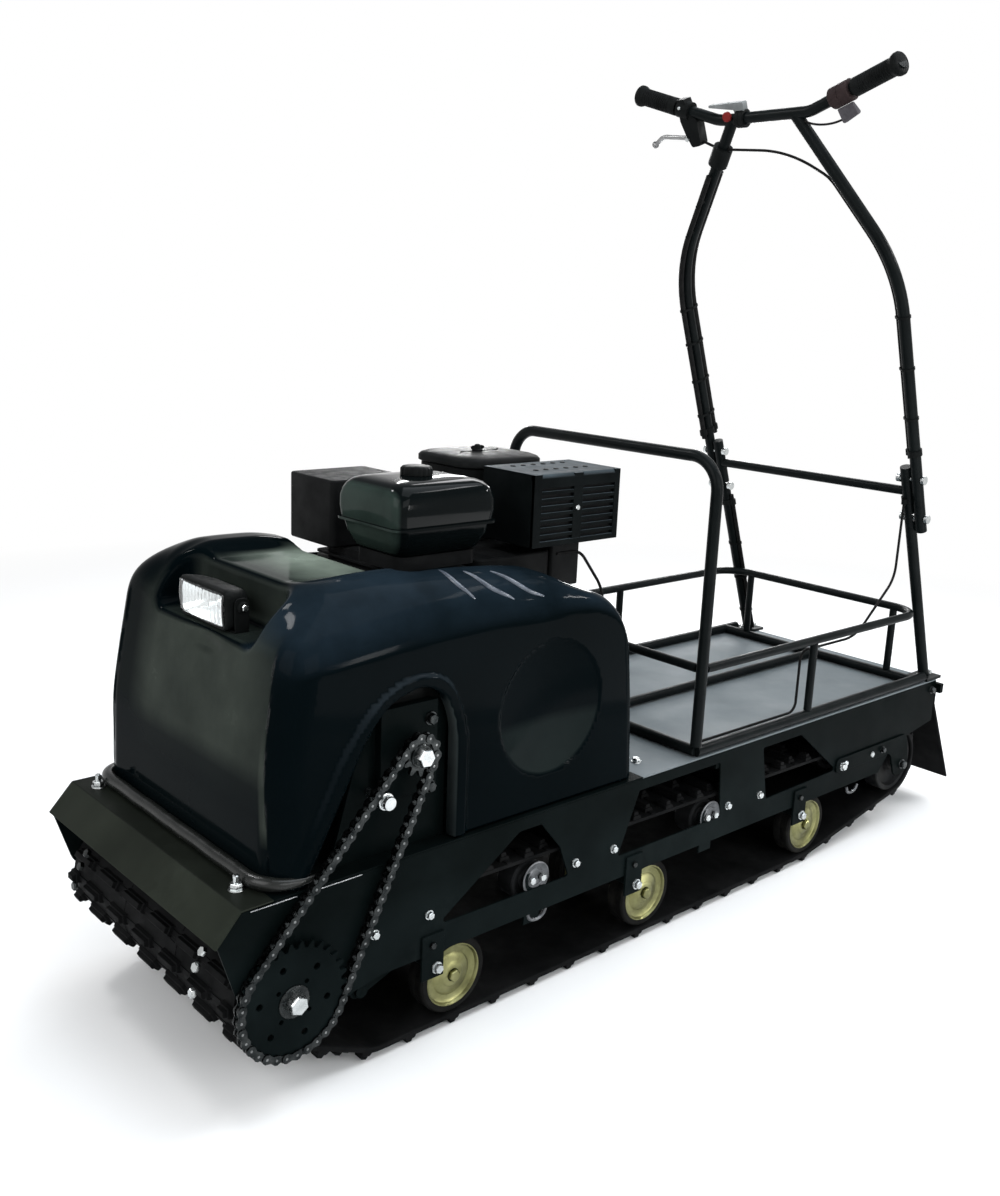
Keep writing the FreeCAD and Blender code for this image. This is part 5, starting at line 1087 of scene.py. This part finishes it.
def make_bar_parts():
    softened("brake_perch", "plastic", 1.6, UPPER)
    softened("throttle_lever", "grey_plastic", 1.6, UPPER)
    softened("bar_clips", "plastic", 0.4, UPPER)
    x, _, z = on_lean(0, 1173)
    clamp = lathe([(-9.5, 11.3), (-9.5, 15.5), (-8, 17), (-1, 17), (-0.5, 16.2), (0.5, 16.2), (1, 17), (8, 17),
                   (9.5, 15.5), (9.5, 11.3)], (x, -47.5, z), LEFT, 36)
    add("switch_clamp", [clamp], "plastic", UPPER, replaces=("stop_switch",))
    outline = rounded([(-118, 1198.5), (-60, 1190), (-60, 1185), (-38, 1185), (-38, 1203), (-118, 1203)],
                      [1.5, 3, 1, 3, 3, 1.5], 4)
    add("switch_plate", [capped([[on_lean(y, along, deep) for y, along in outline] for deep in (-7, 7)])], "plate",
        UPPER, bevel=0.6)
    end, inwards = bar_frame(1)
    case = lathe([(104, 11.3), (104, 17.5), (105.5, 19), (124, 19), (124.6, 18.2), (125.4, 18.2), (126, 19),
                  (144.5, 19), (146, 17.5), (146, 11.3)], end, inwards, 36)
    add("throttle_case", [case], "warm_plastic", UPPER, replaces=("throttle_housing",))
    up, screws = np.array([0.34, 0, 0.9]), []
    for s in (114, 136):
        screws += bolt(end + inwards * s + up * 17.5, up, 5.5, washer=False)
    for place, size in (((-176, 1146, 11.2), 8), ((-182, 1206, 14.5), 6)):
        screws += bolt(on_lean(*place), OUT_OF_LEAN, size, washer=False)
    add("bar_screws", screws, "zinc", UPPER)
    button = lathe([(0, 0.1), (0, 9), (5, 9), (7, 7.4), (7.4, 0.1)], on_lean(-71, 1181, 12.5), OUT_OF_LEAN, 28)
    add("stop_button", [button], "red", UPPER)
    lead("brake_lead", ((-82, 1118), (-95, 1121), (-120, 1126), (-150, 1139)), 24, 2.6)
    lead("throttle_lead", ((80, 1162, 0), (91, 1158, 4), (110, 1152.5, 6), (131, 1150, 6), (152, 1151, 4),
                           (172, 1155.5, 0)), 40, 2.0)


def tie(y, along, cable, apart, tilt=0.0):
    """A band round a tube and a cable of this radius, whose centre is apart = (ahead, left) of the tube's."""
    turns, tube = [], 11
    for a in around(40):
        n = np.array([math.cos(a), math.sin(a)])
        turns.append((n, n * tube if tube >= n @ apart + cable else np.array(apart) + n * cable))
    rows = []
    for high, grow in ((-2.25, 0.4), (-2.25, 1.6), (2.25, 1.6), (2.25, 0.4)):
        points = [point + n * grow for n, point in turns]
        rows.append([on_lean(y + v[1], along + high + v[1] * math.tan(tilt), v[0]) for v in points])
    return grid(rows, close_rows=True)


def make_ties():
    ties = []
    for along in (560, 640, 725, 800, 960, 1020):
        bend = max(along - 887, 0) / (1173 - 887)
        for cable, ahead in ((5.6, 17), (7.1, -18.3)):
            ties.append(tie(-(HALF_BAR - (HALF_BAR - 69) * bend), along, cable, (ahead, 0), 0.5 if bend else 0.0))
    for along in (600, 700, 800):
        ties.append(tie(HALF_BAR, along, 2.6, (0, -14)))
    add("bar_ties", ties, "plastic", UPPER)
    add("leg_ties", [tie(-232, along, 4.1, (0, 15.3)) for along in (60, 150, 240)], "plastic")


# ---------- frame
def make_frame_parts():
    for node in ("side_plate_left", "side_plate_right", "tow_hitch", "shaft_brackets", "track_tensioners",
                 "chain_plate", "return_axles"):
        softened(node, "paint", 0.7, segments=1)
    softened("front_guard", "guard", 1.0)
    for node, look, width in (("deck_plate", "deck", 0.8), ("engine_bed", "paint", 0.8),
                              ("mud_flap", "rib_rubber", 1.0)):
        softened(node, look, width, segments=1)
    softened("drive_bearings", "zinc", 1.5)
    corner = [(826 + 52 * math.cos(a), 203.6 + 48 * math.sin(a)) for a in np.linspace(0, math.pi / 2, 14)]
    half = [(878 + 0.4 * math.sin(y * 0.07), y) for y in np.linspace(0, 196, 30)] + corner + [(812, 252), (798, 251.5)]
    lip = [(x, -y, 319.4) for x, y in half[:0:-1]] + [(x, y, 319.4) for x, y in half]
    size = [min(10.0, 3.0 + 0.10 * max(x - 798, 0)) for x, y, z in lip]
    add("hood_foot", [sweep(lip, size, 20)], "lip")
    # Thin bright zinc lines on the near side plate's top edges: worn bare edges, drawn bright as a painted highlight
    wear = [sweep([(a, 256.3, 303.2), ((a + b) / 2, 256.3, 303.0), (b, 256.3, 303.2)], 0.9, 8)
            for a, b in ((906, 838), (803, 737))]
    add("worn_edge_highlight", wear, "dull_zinc")


# ---------- stage
def make_floor():
    """Pale and matt; further out it turns white to the camera."""
    mesh = bpy.data.meshes.new("floor")
    mesh.from_pydata([(x * FLOOR_HALF, y * FLOOR_HALF, 0) for x, y in ((-1, -1), (1, -1), (1, 1), (-1, 1))], [],
                     [[0, 1, 2, 3]])
    look = Look(bpy.data.materials.new("pale_floor"))
    grey = look.mix(look.spread(look.noise(3.0), 0.0, 1.0), (0.86, 0.865, 0.865), (0.88, 0.882, 0.88))
    look.finish({"Base Color": grey, "Roughness": 0.9, "Specular IOR Level": 0.1})
    far = look.node("VectorMath", {0: look.where}, operation="LENGTH").outputs["Value"]
    rays = look.node("LightPath").outputs
    seen = look.sum(rays["Is Camera Ray"], rays["Is Transmission Ray"], rays["Is Glossy Ray"])
    glow = look.node("Emission", {"Color": (1, 1, 1)})
    share = look.times(look.spread(far, 0.0, 1.0, *FADE), seen)
    blend = look.node("MixShader", {0: share, 1: look.shader.outputs[0], 2: glow.outputs[0]})
    look.feed(look.out, {0: blend.outputs[0]})
    mesh.materials.append(look.owner)
    floor = bpy.data.objects.new("floor", mesh)
    bpy.context.scene.collection.objects.link(floor)


def make_world():
    """Soft grey light; white to the camera and, low down, in reflections."""
    look = Look(bpy.data.worlds.new("studio"), "Background", "OutputWorld")
    bpy.context.scene.world = look.finish({"Color": (0.36, 0.37, 0.385)})
    low = look.spread(look.axis("Generated", "Z"), 1.0, 0.0, 0.20, 0.50)
    rays = look.node("LightPath").outputs
    seen = look.sum(rays["Is Camera Ray"], rays["Is Transmission Ray"], look.times(rays["Is Glossy Ray"], low))
    white = look.node("Background", {"Color": (1, 1, 1)})
    blend = look.node("MixShader", {0: seen, 1: look.shader.outputs[0], 2: white.outputs[0]})
    look.feed(look.out, {0: blend.outputs[0]})


def lamp(name, place, target, size, watts, colour=(1, 1, 1), along=None):
    """An area lamp that faces its target, with its long side along a given direction."""
    data = bpy.data.lights.new(name, "AREA")
    data.shape, data.size, data.size_y = "RECTANGLE", size[0], size[1]
    data.energy, data.color = watts, colour
    back = (Vector(place) - Vector(target)).normalized()
    first = (Vector(along) if along else Vector((0, 0, 1)).cross(back)).normalized()
    second = back.cross(first).normalized()
    placed(name, data, (second.cross(back), second, back), place).visible_camera = False


def make_lights():
    lamp("top_box", (-0.6, 0.5, 3.6), (0.0, 0.0, 0.3), (3.4, 2.6), 85, (0.88, 0.94, 1.0))
    lamp("front_box", (3.6, 0.4, 2.4), (0.3, 0.0, 0.5), (2.6, 2.4), 75)
    lamp("side_box", (0.4, 3.8, 2.3), (0.0, 0.0, 0.4), (3.4, 2.0), 70, (0.97, 0.99, 1.0))
    lamp("rear_box", (-2.6, -1.8, 2.6), (0.0, 0.0, 0.5), (1.8, 1.2), 40)
    lamp("dish_box", (-0.45, 1.32, 0.19), (0.388, 0.249, 0.43), (1.0, 0.28), 2.6)
    lamp("crest_tube", (-1.25, -2.1, 1.4), (0.56, 0.14, 0.68), (1.5, 0.07), 14, along=(-0.53, 0, -0.85))
    lamp("rear_tube", (-2.15, -1.32, 1.25), (0.33, 0.218, 0.64), (0.7, 0.12), 9, along=(0.08, -0.41, -0.59))
    lamp("shoulder_tube", (-1.97, 1.27, 2.13), (0.37, 0.235, 0.63), (0.9, 0.07), 22, along=(-0.4, -0.78, 0.08))
    lamp("tank_tube", (-1.3, 0.85, 2.9), (0.5, 0.12, 0.79), (0.9, 0.16), 8)
    lamp("corner_box", (1.24, -1.75, 2.9), (0.798, 0.176, 0.649), (0.34, 0.34), 22)
    lamp("low_box", (-0.87, 2.76, 0.88), (0.72, 0.244, 0.6), (0.16, 0.5), 12)


# ---------- build
place_camera()
dress_nodes()
make_hood()
make_arch_shield()
make_louvres()
make_track()
make_chain()
make_sprockets()
make_wheels()
make_tank()
make_bolts(make_muffler())
make_flanges_and_hooks()
make_air_cleaner()
make_engine()
make_headlight()
make_grips()
make_bar_parts()
make_ties()
make_frame_parts()
make_floor()
make_world()
make_lights()
bpy.context.scene.view_settings.view_transform = "Standard"
